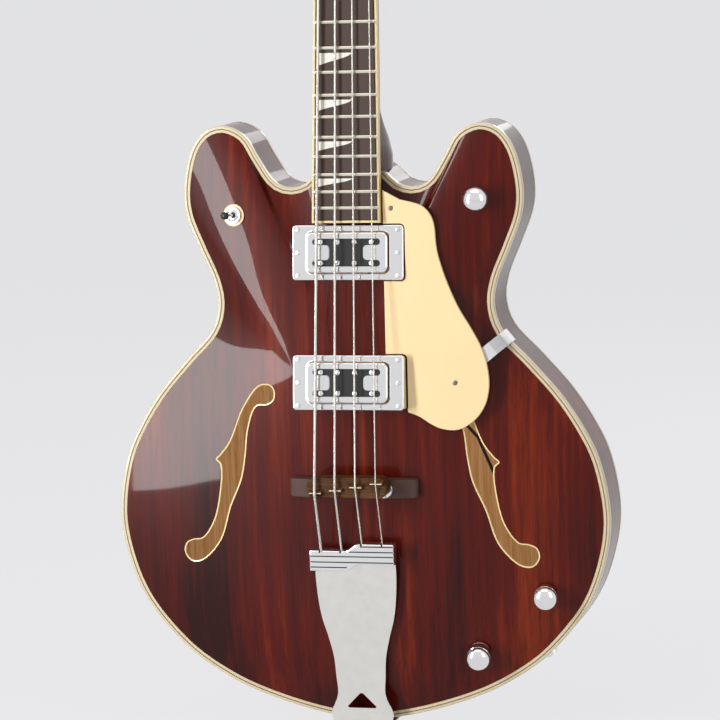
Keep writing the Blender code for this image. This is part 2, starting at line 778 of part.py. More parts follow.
def make_blocks():
    """The blocks at the neck and the tail, between the front and back linings' edges."""
    front = PLATE_THICKNESS + 2 * GAP
    back = BODY_DEPTH - front
    lining = inset(OUTLINE, LINING_WIDTH)
    near_neck = lining[(lining[:, 1] > SPINE_TOP) & (abs(lining[:, 0]) < 2 * NECK_BLOCK_HALF_WIDTH)]
    corner = height_at(near_neck, NECK_BLOCK_HALF_WIDTH) - GAP
    low = (-NECK_BLOCK_HALF_WIDTH, front, corner - NECK_BLOCK_LENGTH)
    high = (NECK_BLOCK_HALF_WIDTH, back, corner)
    add("neck_block", block_mesh(low, high), BODY, "bare_wood")
    corner = height_at(lining[lining[:, 1] < SPINE_BOTTOM], TAIL_BLOCK_HALF_WIDTH) + GAP
    low = (-TAIL_BLOCK_HALF_WIDTH, front, corner)
    high = (TAIL_BLOCK_HALF_WIDTH, back, corner + TAIL_BLOCK_LENGTH)
    add("tail_block", block_mesh(low, high), BODY, "bare_wood")


def make_tone_bar(name, x):
    """A bar glued along the inside of the top."""
    sections = []
    for z in np.linspace(BAR_BOTTOM, BAR_TOP, 13):
        edges = (x - BAR_WIDTH / 2, x + BAR_WIDTH / 2)
        heights = [under_top(edge, z) for edge in edges]
        back = max(heights) + BAR_DEPTH
        sections.append([
            (edges[0], heights[0], z), (edges[1], heights[1], z), (edges[1], back, z), (edges[0], back, z),
        ])
    return add(name, loft_mesh(sections), BODY, "bare_wood")


def make_body():
    make_top()
    arched_plate("body_back", BACK_SURFACE, "walnut_gloss")
    make_rim()
    make_binding("front_binding", 0.0)
    make_binding("back_binding", BODY_DEPTH - BINDING_DEPTH)
    make_blocks()
    make_tone_bar("bass_tone_bar", -BAR_X)
    make_tone_bar("treble_tone_bar", BAR_X)


def board_plane(z, depth):
    """The body frame's y of the plane that lies this deep under the board's face, at this z."""
    face = between((0, depth, -LAST_FRET), NECK, BODY)
    return face.y + (z - face.z) * math.tan(NECK_PITCH)


def half_round(half_width, front, back, place, fullness=2.0, over=1.0, flare=0.0):
    """A neck section: straight across the front, and rounded to the back. Place gives its points."""
    steps = 12
    points = []
    for step in range(steps + 1):
        angle = math.pi * step / steps
        across = abs(math.cos(angle)) ** (2 / fullness) * math.copysign(1, math.cos(angle))
        if step == steps // 2:
            across = 0.0
        deep = min(1.0, over * math.sin(angle) ** (2 / fullness)) if 0 < step < steps else 0.0
        width = half_width + flare * min(1.0, 3 * deep)
        points.append(place(width * across, front + (back - front) * deep))
    return points


def shaft_section(distance):
    depth = NECK_DEPTH_AT_NUT + (NECK_DEPTH_AT_HEEL - NECK_DEPTH_AT_NUT) * distance / BOARD_LENGTH
    return half_round(
        board_half_width(distance), HEAD_FACE, depth, lambda x, y: (x, y, -distance), fullness=2.3,
    )


def heel_section(z, back, flare):
    """A section of the heel, level in the body's frame."""
    distance = -between((0, 0, z), BODY, NECK).z
    return half_round(
        board_half_width(min(distance, BOARD_LENGTH)), board_plane(z, HEAD_FACE), back,
        lambda x, y: between((x, y, z), BODY, NECK), fullness=2.6, over=1.05, flare=flare,
    )


def head_section(z, half_width, depth, fullness):
    return half_round(
        half_width, HEAD_RECESS, depth, lambda x, y: between((x, y, z), HEAD, NECK), fullness=fullness,
    )


def head_outline():
    """The headstock's own plain outline, as (x, z)."""
    right = through(HEAD_HALF_OUTLINE, 3)
    left = [(-x, z) for x, z in right[::-1]]
    return [tuple(point) for point in right] + [point for point in left if point[0] < 0]


def make_neck():
    """The neck with its headstock, its heel and the tongue that carries the board over the top."""
    heel_start = -between((0, 0, HEEL_START), BODY, NECK).z
    edge = HALF_OUTLINE[0][1]
    inside = edge - 0.004
    board_end = between((0, 0, -BOARD_LENGTH), NECK, BODY).z
    sections = [
        head_section(0.026, HEAD_HALF_OUTLINE[0][0] - 0.002, HEAD_THICKNESS - HEAD_RECESS, 5.0),
        head_section(0.010, NUT_HALF_WIDTH, HEAD_THICKNESS - HEAD_RECESS, 2.6),
        head_section(0.001, NUT_HALF_WIDTH, HEAD_THICKNESS - HEAD_RECESS, 2.3),
        shaft_section(-NUT_THICKNESS + 0.001),
        shaft_section(0.0),
        shaft_section(heel_start / 2),
        shaft_section(heel_start),
    ]
    heel_back = board_plane(HEEL_START, NECK_DEPTH_AT_HEEL)
    heel = ((0.16, 0.12), (0.38, 0.36), (0.62, 0.66), (0.83, 0.90), (1.0, 1.0))
    for down, deep in heel:
        z = HEEL_START + (HEEL_CAP - HEEL_START) * down
        sections.append(heel_section(z, heel_back + (BODY_DEPTH - heel_back) * deep, HEEL_FLARE * down / 2))
    sections.append(heel_section((HEEL_CAP + edge) / 2, BODY_DEPTH, HEEL_FLARE))
    sections.append(heel_section(inside, BODY_DEPTH, HEEL_FLARE))
    sections.append(heel_section(inside - 0.002, TONGUE_DEPTH, 0.0))
    sections.append(heel_section(board_end, TONGUE_DEPTH, 0.0))
    neck = add("neck", loft_mesh(sections), NECK, "walnut_gloss")
    join(neck, flat_mesh([head_outline()], 0.0, HEAD_THICKNESS), HEAD)
    cut(neck, body_envelope(), BODY)
    half = ROD_WIDTH / 2 + GAP
    channel_back = HEAD_FACE + ROD_DEPTH + 2 * GAP
    channel = block_mesh((-half, HEAD_FACE - 0.003, -ROD_LENGTH - GAP), (half, channel_back, ROD_NUT_POCKET))
    cut(neck, channel)
    hole = POST_RADIUS + RUNNING_GAP + BARREL_WALL + GAP
    for side in (1, -1):
        for x, z in POST_PLACES:
            cut(neck, rod_mesh((side * x, -0.01, z), (side * x, HEAD_THICKNESS + 0.01, z), hole), HEAD)
    start, end = heel_button_line()
    cut(neck, rod_mesh(start, end, BUTTON_SHANK_RADIUS + GAP, SCREW_SIDES), BODY)
    return neck


def make_truss_rod():
    """A rod in the channel under the board, with its adjusting nut in the headstock's pocket."""
    front = HEAD_FACE + GAP
    half = ROD_WIDTH / 2
    bar = block_mesh((-half, front, -ROD_LENGTH), (half, front + ROD_DEPTH, -0.004))
    rod = add("truss_rod", bar, NECK, "steel")
    middle = front + ROD_DEPTH / 2
    join(rod, rod_mesh((0, middle, -0.010), (0, middle, ROD_NUT_POCKET - 0.008), ROD_WIDTH / 3, 12))
    join(rod, rod_mesh((0, middle, ROD_NUT_POCKET - 0.014), (0, middle, ROD_NUT_POCKET - 0.004), half, 6))
    outline = [(-0.0105, 0.006), (0.0105, 0.006), (0.0085, 0.036), (0.0, 0.046), (-0.0085, 0.036)]
    cover = flat_mesh([outline], -ROD_COVER_THICKNESS - GAP, -GAP)
    return rod, add("truss_rod_cover", cover, HEAD, "black_plastic")


def make_fingerboard():
    """The board with its frets, as one length of a side profile, and its binding."""
    profile = [(0.0, 0.0)]
    for number in range(1, FRET_COUNT + 1):
        distance = fret_distance(number)
        half = FRET_WIDTH / 2
        profile += [
            (distance - half, 0.0), (distance - half / 2, -FRET_HEIGHT),
            (distance + half / 2, -FRET_HEIGHT), (distance + half, 0.0),
        ]
    end = BOARD_LENGTH - BOARD_BINDING_WIDTH - GAP
    profile += [(end, 0.0), (end, BOARD_THICKNESS), (0.0, BOARD_THICKNESS)]
    sides = []
    for sign in (-1, 1):
        edge = BOARD_BINDING_WIDTH + GAP
        sides.append([(sign * (board_half_width(d) - edge), y, -d) for d, y in profile])
    add("fingerboard", loft_mesh(sides), NECK, "fingerboard_wood")
    inner, outer = [], []
    for sign in (1, -1):
        outer.append((sign * board_half_width(0), 0.0))
        outer.append((sign * board_half_width(BOARD_LENGTH), -BOARD_LENGTH))
        inner.append((sign * (board_half_width(0) - BOARD_BINDING_WIDTH), 0.0))
        end_half = board_half_width(BOARD_LENGTH) - BOARD_BINDING_WIDTH
        inner.append((sign * end_half, -BOARD_LENGTH + BOARD_BINDING_WIDTH))
    loop = [outer[0], outer[1], outer[3], outer[2], inner[2], inner[3], inner[1], inner[0]]
    add("fingerboard_binding", flat_mesh([loop], 0.0, BOARD_THICKNESS), NECK, "cream_binding")


def string_x(index, spread):
    return spread * (index / (len(STRING_NAMES) - 1) - 0.5)


def string_at_nut(index):
    """The string's centre where it leaves the nut for the body, in the neck's frame."""
    height = FRET_HEIGHT + STRING_OVER_FIRST_FRET + STRING_DIAMETERS[index] / 2
    return Vector((string_x(index, STRING_SPREAD_AT_NUT), -height, 0))


def string_at_saddle(index):
    """The string's centre over the saddle, in the neck's frame."""
    distance = SCALE_LENGTH + STRING_COMPENSATIONS[index]
    return Vector((string_x(index, STRING_SPREAD_AT_SADDLE), -STRING_OVER_BOARD_AT_SADDLE, -distance))


def anchor_side(index):
    """0 for the strings on the bass step of the anchor, and 1 for those on the treble step."""
    return 0 if index < 2 else 1


def string_at_anchor(index):
    """The ball end's centre, in the body's frame."""
    z = ANCHOR_TOPS[anchor_side(index)] - ANCHOR_BALL_DOWN
    return Vector((string_x(index, STRING_SPREAD_AT_ANCHOR), ANCHOR_BALL_Y, z))


def post_place(index):
    """The tuning post for this string, as its side of the headstock and its (x, z)."""
    side = -1 if index < 2 else 1
    x, z = POST_PLACES[0] if index in (0, 3) else POST_PLACES[1]
    return side, (-side * x, z)


def string_turns(index, start):
    """The points round the tuning post, in the headstock's frame, and the straight end."""
    side, (x, z) = post_place(index)
    diameter = STRING_DIAMETERS[index]
    radius = POST_RADIUS + GAP + diameter / 2
    across, up = -side * (x - start.x), z - start.z
    heading = math.atan2(up, across) - math.asin(radius / math.hypot(across, up))
    first = heading - math.radians(90)
    points = []
    for step in range(STRING_TURNS * TURN_POINTS + 1):
        angle = first + math.tau * step / TURN_POINTS
        height = FIRST_TURN_HEIGHT + (diameter + TURN_GAP) * step / TURN_POINTS
        points.append(Vector((
            x - side * radius * math.cos(angle), -height, z + radius * math.sin(angle),
        )))
    angle = first + math.tau * STRING_TURNS
    run = Vector((side * math.sin(angle), 0, math.cos(angle))) * STRING_TAIL
    return points, points[-1] + run


def least_turn_gap(points, diameter):
    """The least distance between the turns' surfaces, measured between points half a turn apart."""
    gap = 1.0
    for i, first in enumerate(points):
        for second in points[i + TURN_POINTS // 2 :]:
            gap = min(gap, (second - first).length - diameter)
    return gap


def make_string(index):
    """A string from its ball end, over the saddle and the nut, to its turns round the post."""
    diameter = STRING_DIAMETERS[index]
    nut = string_at_nut(index)
    nut_back = nut + Vector((0, 0, NUT_THICKNESS - 0.0005))
    start = between(nut_back, NECK, HEAD)
    turns, end = string_turns(index, start)
    runs = [start + (turns[0] - start) * share for share in (0.5, 0.8, 0.9)]
    wound = [between(point, HEAD, NECK) for point in [*runs, *turns, end]]
    print(f"string {STRING_NAMES[index]}: least gap between turns "
          f"{least_turn_gap(wound, diameter) * 1000:.2f} mm")
    ball = between(string_at_anchor(index), BODY, NECK)
    points = [ball, string_at_saddle(index), nut, nut_back, *wound]
    name = f"string_{STRING_NAMES[index]}"
    string = add(name, tube_mesh(points, diameter / 2, 1), NECK, "nickel_wire")
    build = bmesh.new()
    bmesh.ops.create_uvsphere(build, u_segments=8, v_segments=5, radius=BALL_END_RADIUS)
    build.transform(Matrix.Translation(ball))
    join(string, mesh_from(build))
    return string


def make_nut():
    """The nut on the neck's flat, with a slot for each string."""
    front = string_at_nut(0).y
    low = (-NUT_HALF_WIDTH + GAP, front, GAP)
    high = (NUT_HALF_WIDTH - GAP, BOARD_THICKNESS, NUT_THICKNESS)
    nut = add("nut", block_mesh(low, high), NECK, "bone")
    for index, diameter in enumerate(STRING_DIAMETERS):
        place = string_at_nut(index)
        half = diameter / 2 + GAP
        bottom = place.y + half
        slot = block_mesh((place.x - half, front - 0.005, -0.01), (place.x + half, bottom, 0.02))
        cut(nut, slot)
    return nut


def string_plane(z):
    """The body frame's y of the strings' mean centre line, at this z."""
    count = len(STRING_NAMES)
    nut = sum((string_at_nut(i) for i in range(count)), Vector()) / count
    saddle = sum((string_at_saddle(i) for i in range(count)), Vector()) / count
    start, end = between(nut, NECK, BODY), between(saddle, NECK, BODY)
    slope = (start.y - end.y) / (start.z - end.z)
    return end.y + slope * (z - end.z), math.atan(slope)


def merged(meshes):
    """Several meshes as one, for a cutter or a joined pattern."""
    build = bmesh.new()
    for mesh in meshes:
        build.from_mesh(mesh)
    return mesh_from(build)


def window_outline():
    """The opening in a pickup's cover: a block with a slot at each corner, as (x, z)."""
    tab_x = WINDOW_HALF_LENGTH - WINDOW_TAB_REACH
    tab = WINDOW_TAB_HALF_WIDTH
    radius = (WINDOW_HALF_WIDTH - tab) / 2
    middle = (WINDOW_HALF_WIDTH + tab) / 2
    end_x = WINDOW_HALF_LENGTH - radius
    quarter = [(0.0, WINDOW_HALF_WIDTH)]
    for step in range(7):
        angle = math.radians(90 - 180 * step / 6)
        quarter.append((end_x + radius * math.cos(angle), middle + radius * math.sin(angle)))
    quarter += [(tab_x + tab / 2, tab), (tab_x, tab / 2)]
    loop = quarter + [(x, -z) for x, z in quarter[::-1]]
    return loop + [(-x, -z) for x, z in quarter[1:]] + [(-x, z) for x, z in quarter[:0:-1]]


def base_outline():
    """A pickup's base plate: the cover's outline with an ear at each end, as (x, z)."""
    ear = HEIGHT_SCREW_X + EAR_MARGIN
    corner = COVER_CORNER
    quarter = [(ear, EAR_HALF_WIDTH - EAR_TAPER), (COVER_HALF_LENGTH, EAR_HALF_WIDTH)]
    for step in range(5):
        angle = math.radians(90) * step / 4
        x = COVER_HALF_LENGTH - corner + corner * math.cos(angle)
        quarter.append((x, COVER_HALF_WIDTH - corner + corner * math.sin(angle)))
    loop = quarter + [(-x, z) for x, z in reversed(quarter)]
    return loop + [(-x, -z) for x, z in quarter] + [(x, -z) for x, z in reversed(quarter)]


def make_pickup(name, centre):
    """One pickup: its ring, its cover, its coils with their pole screws, and its base plate."""
    plane, pitch = string_plane(centre)
    place = frame(f"{name}_pickup_frame", BODY, (0, plane + RING_BEHIND_STRINGS, centre), tilt=-pitch)
    deep = 0.030
    outer = rounded_rectangle(RING_HALF_LENGTH, RING_HALF_WIDTH, RING_CORNER, 3)
    hole = rounded_rectangle(COVER_HALF_LENGTH + 2 * GAP, COVER_HALF_WIDTH + 2 * GAP, COVER_CORNER, 3)
    ring = add(f"{name}_pickup_ring", flat_mesh([outer, hole], 0.0, deep), place, "chrome")
    pocket = rounded_rectangle(RING_HALF_LENGTH - RING_WALL, RING_HALF_WIDTH - RING_WALL, RING_CORNER, 1)
    cut(ring, flat_mesh([pocket], RING_WALL, deep + 0.01))
    holes = [
        rod_mesh((side * HEIGHT_SCREW_X, -0.01, 0), (side * HEIGHT_SCREW_X, 0.01, 0),
                 HEIGHT_SCREW_RADIUS + RUNNING_GAP, SCREW_SIDES)
        for side in (-1, 1)
    ]
    cut(ring, merged(holes))
    cut(ring, body_envelope(), BODY)
    cut(bpy.data.objects["body_top"], flat_mesh([pickup_cavity()], -deep, deep), place)

    front = COVER_BEHIND_STRINGS - RING_BEHIND_STRINGS
    back = front + COVER_DEPTH
    outline = rounded_rectangle(COVER_HALF_LENGTH, COVER_HALF_WIDTH, COVER_CORNER)
    cover = add(f"{name}_pickup_cover", flat_mesh([outline], front, back), place, "chrome")
    inside = rounded_rectangle(
        COVER_HALF_LENGTH - COVER_WALL, COVER_HALF_WIDTH - COVER_WALL, COVER_CORNER - COVER_WALL, 2,
    )
    cut(cover, flat_mesh([inside], front + COVER_WALL, back + 0.01))
    cut(cover, flat_mesh([window_outline()], front - 0.01, back))

    former = rounded_rectangle(
        COVER_HALF_LENGTH - COVER_WALL - GAP, COVER_HALF_WIDTH - COVER_WALL - GAP,
        COVER_CORNER - COVER_WALL, 2,
    )
    top = front + COVER_WALL + GAP
    coils = add(f"{name}_pickup_coils", flat_mesh([former], top, back - GAP), place, "black_plastic")
    poles = [
        rod_mesh((string_x(i, POLE_SPREAD), front - POLE_STAND, row * POLE_ROW),
                 (string_x(i, POLE_SPREAD), top + 0.002, row * POLE_ROW), POLE_HEAD_RADIUS, POLE_SIDES)
        for i in range(len(STRING_NAMES)) for row in (-1, 1)
    ]
    join(coils, merged(poles))

    low, high = back + GAP, back + GAP + BASE_PLATE_THICKNESS
    plate = add(f"{name}_pickup_base", flat_mesh([base_outline()], low, high), place, "steel")
    head_top = GAP + SCREW_HEAD_HEIGHT
    profile = [
        (0, head_top), (SCREW_HEAD_RADIUS, head_top), (SCREW_HEAD_RADIUS, GAP),
        (HEIGHT_SCREW_RADIUS, GAP), (HEIGHT_SCREW_RADIUS, -high - 0.002), (0, -high - 0.002),
    ]
    screws = [
        turned_mesh(
            profile, SCREW_SIDES,
            place=Matrix.Translation((side * HEIGHT_SCREW_X, 0, 0)) @ along((0, -1, 0)),
        )
        for side in (-1, 1)
    ]
    join(plate, merged(screws))


def make_bridge():
    """The base on the arched top, two thumbwheels on its studs, and the saddle with its crests."""
    low, high = BRIDGE_Z - BASE_HALF_WIDTH, BRIDGE_Z + BASE_HALF_WIDTH
    buried = -0.010
    shape = [
        (-BASE_HALF_LENGTH, buried), (-BASE_HALF_LENGTH, BASE_END_FRONT), (-BASE_SHOULDER_X, BASE_FRONT),
        (BASE_SHOULDER_X, BASE_FRONT), (BASE_HALF_LENGTH, BASE_END_FRONT), (BASE_HALF_LENGTH, buried),
    ]
    ends = [[(x, y, z) for x, y in shape] for z in (low, high)]
    base = add("bridge_base", loft_mesh(ends), BODY, "bridge_wood")
    cut(base, body_envelope())
    wheel_front = BASE_FRONT - GAP - WHEEL_THICKNESS
    back = wheel_front - GAP
    front = back - SADDLE_DEPTH
    studs = [
        rod_mesh((side * STUD_X, BASE_FRONT + 0.002, BRIDGE_Z),
                 (side * STUD_X, back - STUD_INTO_SADDLE, BRIDGE_Z),
                 STUD_RADIUS, SCREW_SIDES)
        for side in (-1, 1)
    ]
    join(base, merged(studs))

    saddle_outline = rounded_rectangle(
        SADDLE_HALF_LENGTH, SADDLE_HALF_WIDTH, SADDLE_HALF_WIDTH - 0.001, 5, (0, SADDLE_Z),
    )
    saddle = add("bridge_saddle", flat_mesh([saddle_outline], front, back), BODY, "bridge_wood")
    for index, diameter in enumerate(STRING_DIAMETERS):
        crossing = between(string_at_saddle(index), NECK, BODY)
        half = CREST_LENGTH / 2
        tip = crossing.y + diameter / 2 + GAP
        shape = [
            (crossing.z - CREST_WIDTH, front + 0.001), (crossing.z - 0.0003, tip),
            (crossing.z + 0.0003, tip), (crossing.z + CREST_WIDTH, front + 0.001),
        ]
        crest = [[(crossing.x + end * half, y, z) for z, y in shape] for end in (-1, 1)]
        join(saddle, loft_mesh(crest))
    sockets = [
        rod_mesh((side * STUD_X, back + 0.005, BRIDGE_Z),
                 (side * STUD_X, back - STUD_INTO_SADDLE - GAP, BRIDGE_Z),
                 STUD_RADIUS + RUNNING_GAP, SCREW_SIDES)
        for side in (-1, 1)
    ]
    cut(saddle, merged(sockets))
    for side, word in ((-1, "bass"), (1, "treble")):
        seat = (side * STUD_X, BASE_FRONT - GAP, BRIDGE_Z)
        place = frame(f"{word}_wheel_frame", BODY, seat, math.radians(90))
        bore = STUD_RADIUS + RUNNING_GAP
        profile = [(bore, WHEEL_THICKNESS), (WHEEL_RADIUS, WHEEL_THICKNESS), (WHEEL_RADIUS, 0), (bore, 0)]
        add(f"{word}_thumbwheel", turned_mesh(profile, 16, bore=True), place, "steel")


def tail_path():
    """The tailpiece's sheet from its top end over the tail's edge, as (y, z, half width)."""
    top_y = ANCHOR_BACK + GAP + TAIL_SHEET / 2
    top_z, foot_z = TAIL_WIDTHS[0][0], TAIL_WIDTHS[-1][0]
    path = []
    for z, half in TAIL_WIDTHS:
        share = (z - top_z) / (foot_z - top_z)
        path.append((top_y + (TAIL_PLATE_FOOT_Y - top_y) * share, z, half))
    strap_z = tail_strap_z()
    centre_y, centre_z = TAIL_PLATE_FOOT_Y + TAIL_BEND, strap_z + TAIL_BEND
    for step in range(1, 5):
        angle = math.radians(90) * step / 4
        y = centre_y - TAIL_BEND * math.cos(angle)
        path.append((y, centre_z - TAIL_BEND * math.sin(angle), TAIL_STRAP_HALF_WIDTH))
    path.append((TAIL_STRAP_END_Y, strap_z, TAIL_STRAP_HALF_WIDTH))
    return path


def tail_strap_z():
    """The middle of the sheet where it lies against the rim."""
    return HALF_OUTLINE[-1][1] - GAP - TAIL_SHEET / 2


def make_tailpiece():
    path = tail_path()
    sections = []
    for i, (y, z, half) in enumerate(path):
        before, after = path[max(i - 1, 0)], path[min(i + 1, len(path) - 1)]
        along_y, along_z = after[0] - before[0], after[1] - before[1]
        length = math.hypot(along_y, along_z)
        out_y, out_z = along_z / length * TAIL_SHEET / 2, -along_y / length * TAIL_SHEET / 2
        sections.append([
            (-half, y + out_y, z + out_z), (half, y + out_y, z + out_z),
            (half, y - out_y, z - out_z), (-half, y - out_y, z - out_z),
        ])
    plate = add("tailpiece_plate", loft_mesh(sections), BODY, "chrome")
    half_hole = TAIL_HOLE_HALF_WIDTH
    window = [(0, TAIL_HOLE_APEX), (half_hole, TAIL_HOLE_BASE), (-half_hole, TAIL_HOLE_BASE)]
    cut(plate, flat_mesh([window], -0.04, 0.0))
    strap = tail_strap_z()
    middle = BODY_DEPTH / 2
    shank = BUTTON_SHANK_RADIUS + GAP
    cut(plate, rod_mesh((0, middle, strap - 0.01), (0, middle, strap + 0.01), shank, SCREW_SIDES))

    bass, treble = ANCHOR_TOPS
    half, step = ANCHOR_HALF_WIDTH, ANCHOR_STEP_HALF_WIDTH
    top_edge = [(-half, bass), (-step, bass), (step, treble), (half, treble)]
    loop = top_edge + [(x, z - ANCHOR_HEIGHT) for x, z in reversed(top_edge)]
    anchor = add("string_anchor", flat_mesh([loop], ANCHOR_FRONT, ANCHOR_BACK), BODY, "chrome")
    grooves = []
    for line in range(1, ANCHOR_RIDGES):
        down = ANCHOR_HEIGHT * (0.55 + 0.45 * line / ANCHOR_RIDGES)
        edge = [(x * 1.02, z - down) for x, z in top_edge]
        groove = edge + [(x, z - ANCHOR_GROOVE) for x, z in reversed(edge)]
        grooves.append(flat_mesh([groove], ANCHOR_FRONT - 0.002, ANCHOR_FRONT + ANCHOR_GROOVE))
    cut(anchor, merged(grooves))
    for index, diameter in enumerate(STRING_DIAMETERS):
        ball = string_at_anchor(index)
        half_slot = diameter / 2 + GAP
        half_ball = BALL_END_RADIUS + GAP
        floor = ball.y + half_slot
        low = (ball.x - half_slot, ANCHOR_FRONT - 0.02, ball.z)
        slot = block_mesh(low, (ball.x + half_slot, floor, ball.z + 0.03))
        pocket = block_mesh(
            (ball.x - half_ball, ANCHOR_FRONT - 0.01, ball.z - half_ball),
            (ball.x + half_ball, ball.y + half_ball, ball.z + half_ball),
        )
        cut(anchor, slot)
        cut(anchor, pocket)


def make_pickguard():
    """The guard beside the strings, with clearance round both rings, and its spacer and bracket."""
    place = frame("pickguard_frame", BODY, (0, GUARD_TOP_Y, GUARD_TOP_Z), tilt=-GUARD_PITCH)
    inner_z = (GUARD_OUTLINE[-1][1] + PICKUP_CENTRES[1]) / 2
    curve = [tuple(point) for point in through(GUARD_OUTLINE, 2)]
    loop = [(GUARD_LEFT_X, GUARD_TOP_Z), *curve]
    loop += [(curve[-1][0] - 0.003, inner_z), (GUARD_LEFT_X, inner_z)]
    loop = [(x, z - GUARD_TOP_Z) for x, z in loop]
    guard = add("pickguard", flat_mesh([loop], 0.0, GUARD_THICKNESS), place, "cream_plastic")
    for name in PICKUP_NAMES:
        notch = rounded_rectangle(
            RING_HALF_LENGTH + GUARD_RING_CLEARANCE, RING_HALF_WIDTH + GUARD_RING_CLEARANCE,
            RING_CORNER, 2,
        )
        cut(guard, flat_mesh([notch], -0.05, 0.05), bpy.data.objects[f"{name}_pickup_frame"])
    x, z = GUARD_SCREW
    seat, _ = top_at(x, z)
    middle_y = GUARD_TOP_Y + (z - GUARD_TOP_Z) * math.tan(GUARD_PITCH) + GUARD_THICKNESS / 2
    join(guard, rod_mesh((x, middle_y, z), (x, seat.y - 3 * GAP, z), GUARD_SPACER_RADIUS, SCREW_SIDES), BODY)

    middles = (OUTLINE[1:] + OUTLINE[:-1]) / 2
    nearest = int(np.argmin(np.linalg.norm(middles - np.array(BRACKET_PLACE), axis=1)))
    edge = middles[nearest]
    run = OUTLINE[nearest + 1] - OUTLINE[nearest]
    run = run / np.linalg.norm(run)
    out = np.array((-run[1], run[0]))
    under = GUARD_TOP_Y + (edge[1] - BRACKET_LENGTH * out[1] - GUARD_TOP_Z) * math.tan(GUARD_PITCH)
    under += GUARD_THICKNESS + 2 * BRACKET_CLEARANCE + BRACKET_THICKNESS / 2
    half = BRACKET_THICKNESS / 2
    beside = BRACKET_CLEARANCE + half
    profile = [
        (-BRACKET_LENGTH, under), (-0.36 * BRACKET_LENGTH, under), (-0.07 * BRACKET_LENGTH, -beside),
        (beside, -beside), (beside, BRACKET_CLIP_DEPTH),
    ]
    sections = []
    for i, (reach, y) in enumerate(profile):
        before, after = profile[max(i - 1, 0)], profile[min(i + 1, len(profile) - 1)]
        first = Vector((reach - before[0], y - before[1])).normalized() if i else None
        second = Vector((after[0] - reach, after[1] - y)).normalized() if i < len(profile) - 1 else first
        first = first or second
        bisector = (first + second).normalized()
        miter = half / max(bisector.dot(first), 0.5)
        offset = Vector((-bisector.y, bisector.x)) * miter
        corners = []
        for side, sign in ((-1, -1), (1, -1), (1, 1), (-1, 1)):
            place_out, place_y = reach + sign * offset.x, y + sign * offset.y
            point = edge + out * place_out + run * side * BRACKET_HALF_WIDTH
            corners.append((point[0], place_y, point[1]))
        sections.append(corners)
    add("pickguard_bracket", loft_mesh(sections), BODY, "chrome")


def surface_frame(name, place):
    """A frame on the top whose Z points straight out of the arch."""
    centre, normal = top_at(*place)
    empty = frame(name, BODY)
    empty.matrix_basis = Matrix.Translation(centre) @ along(normal)
    bpy.context.view_layer.update()
    return empty


def make_knob(name, place):
    """A dome knob on its shaft, and the potentiometer that hangs in the top."""
    seat = surface_frame(f"{name}_frame", place)
    under = -(PLATE_THICKNESS + UNDER_PLATE_CLEARANCE)
    bottom = under - POT_CAN_DEPTH
    r, top = KNOB_RADIUS, KNOB_HEIGHT
    dome = [
        (0, top), (0.35 * r, top - 0.03 * r), (0.65 * r, top - 0.14 * r), (0.86 * r, top - 0.36 * r),
        (0.96 * r, top - 0.66 * r), (r, top - r), (r, KNOB_STAND), (POT_SHAFT_RADIUS, KNOB_STAND),
        (POT_SHAFT_RADIUS, bottom + 0.001), (0, bottom + 0.001),
    ]
    add(f"{name}_knob", turned_mesh(dome, KNOB_SIDES), seat, "chrome")
    bore = POT_SHAFT_RADIUS + RUNNING_GAP
    nut_top = GAP + POT_NUT_HEIGHT
    pot = [
        (bore, KNOB_STAND - RUNNING_GAP), (POT_BUSH_RADIUS, KNOB_STAND - RUNNING_GAP),
        (POT_BUSH_RADIUS, nut_top), (POT_NUT_RADIUS, nut_top), (POT_NUT_RADIUS, GAP),
        (POT_BUSH_RADIUS, GAP), (POT_BUSH_RADIUS, under), (POT_CAN_RADIUS, under),
        (POT_CAN_RADIUS, bottom), (bore, bottom),
    ]
    add(f"{name}_potentiometer", turned_mesh(pot, bore=True), seat, "steel")


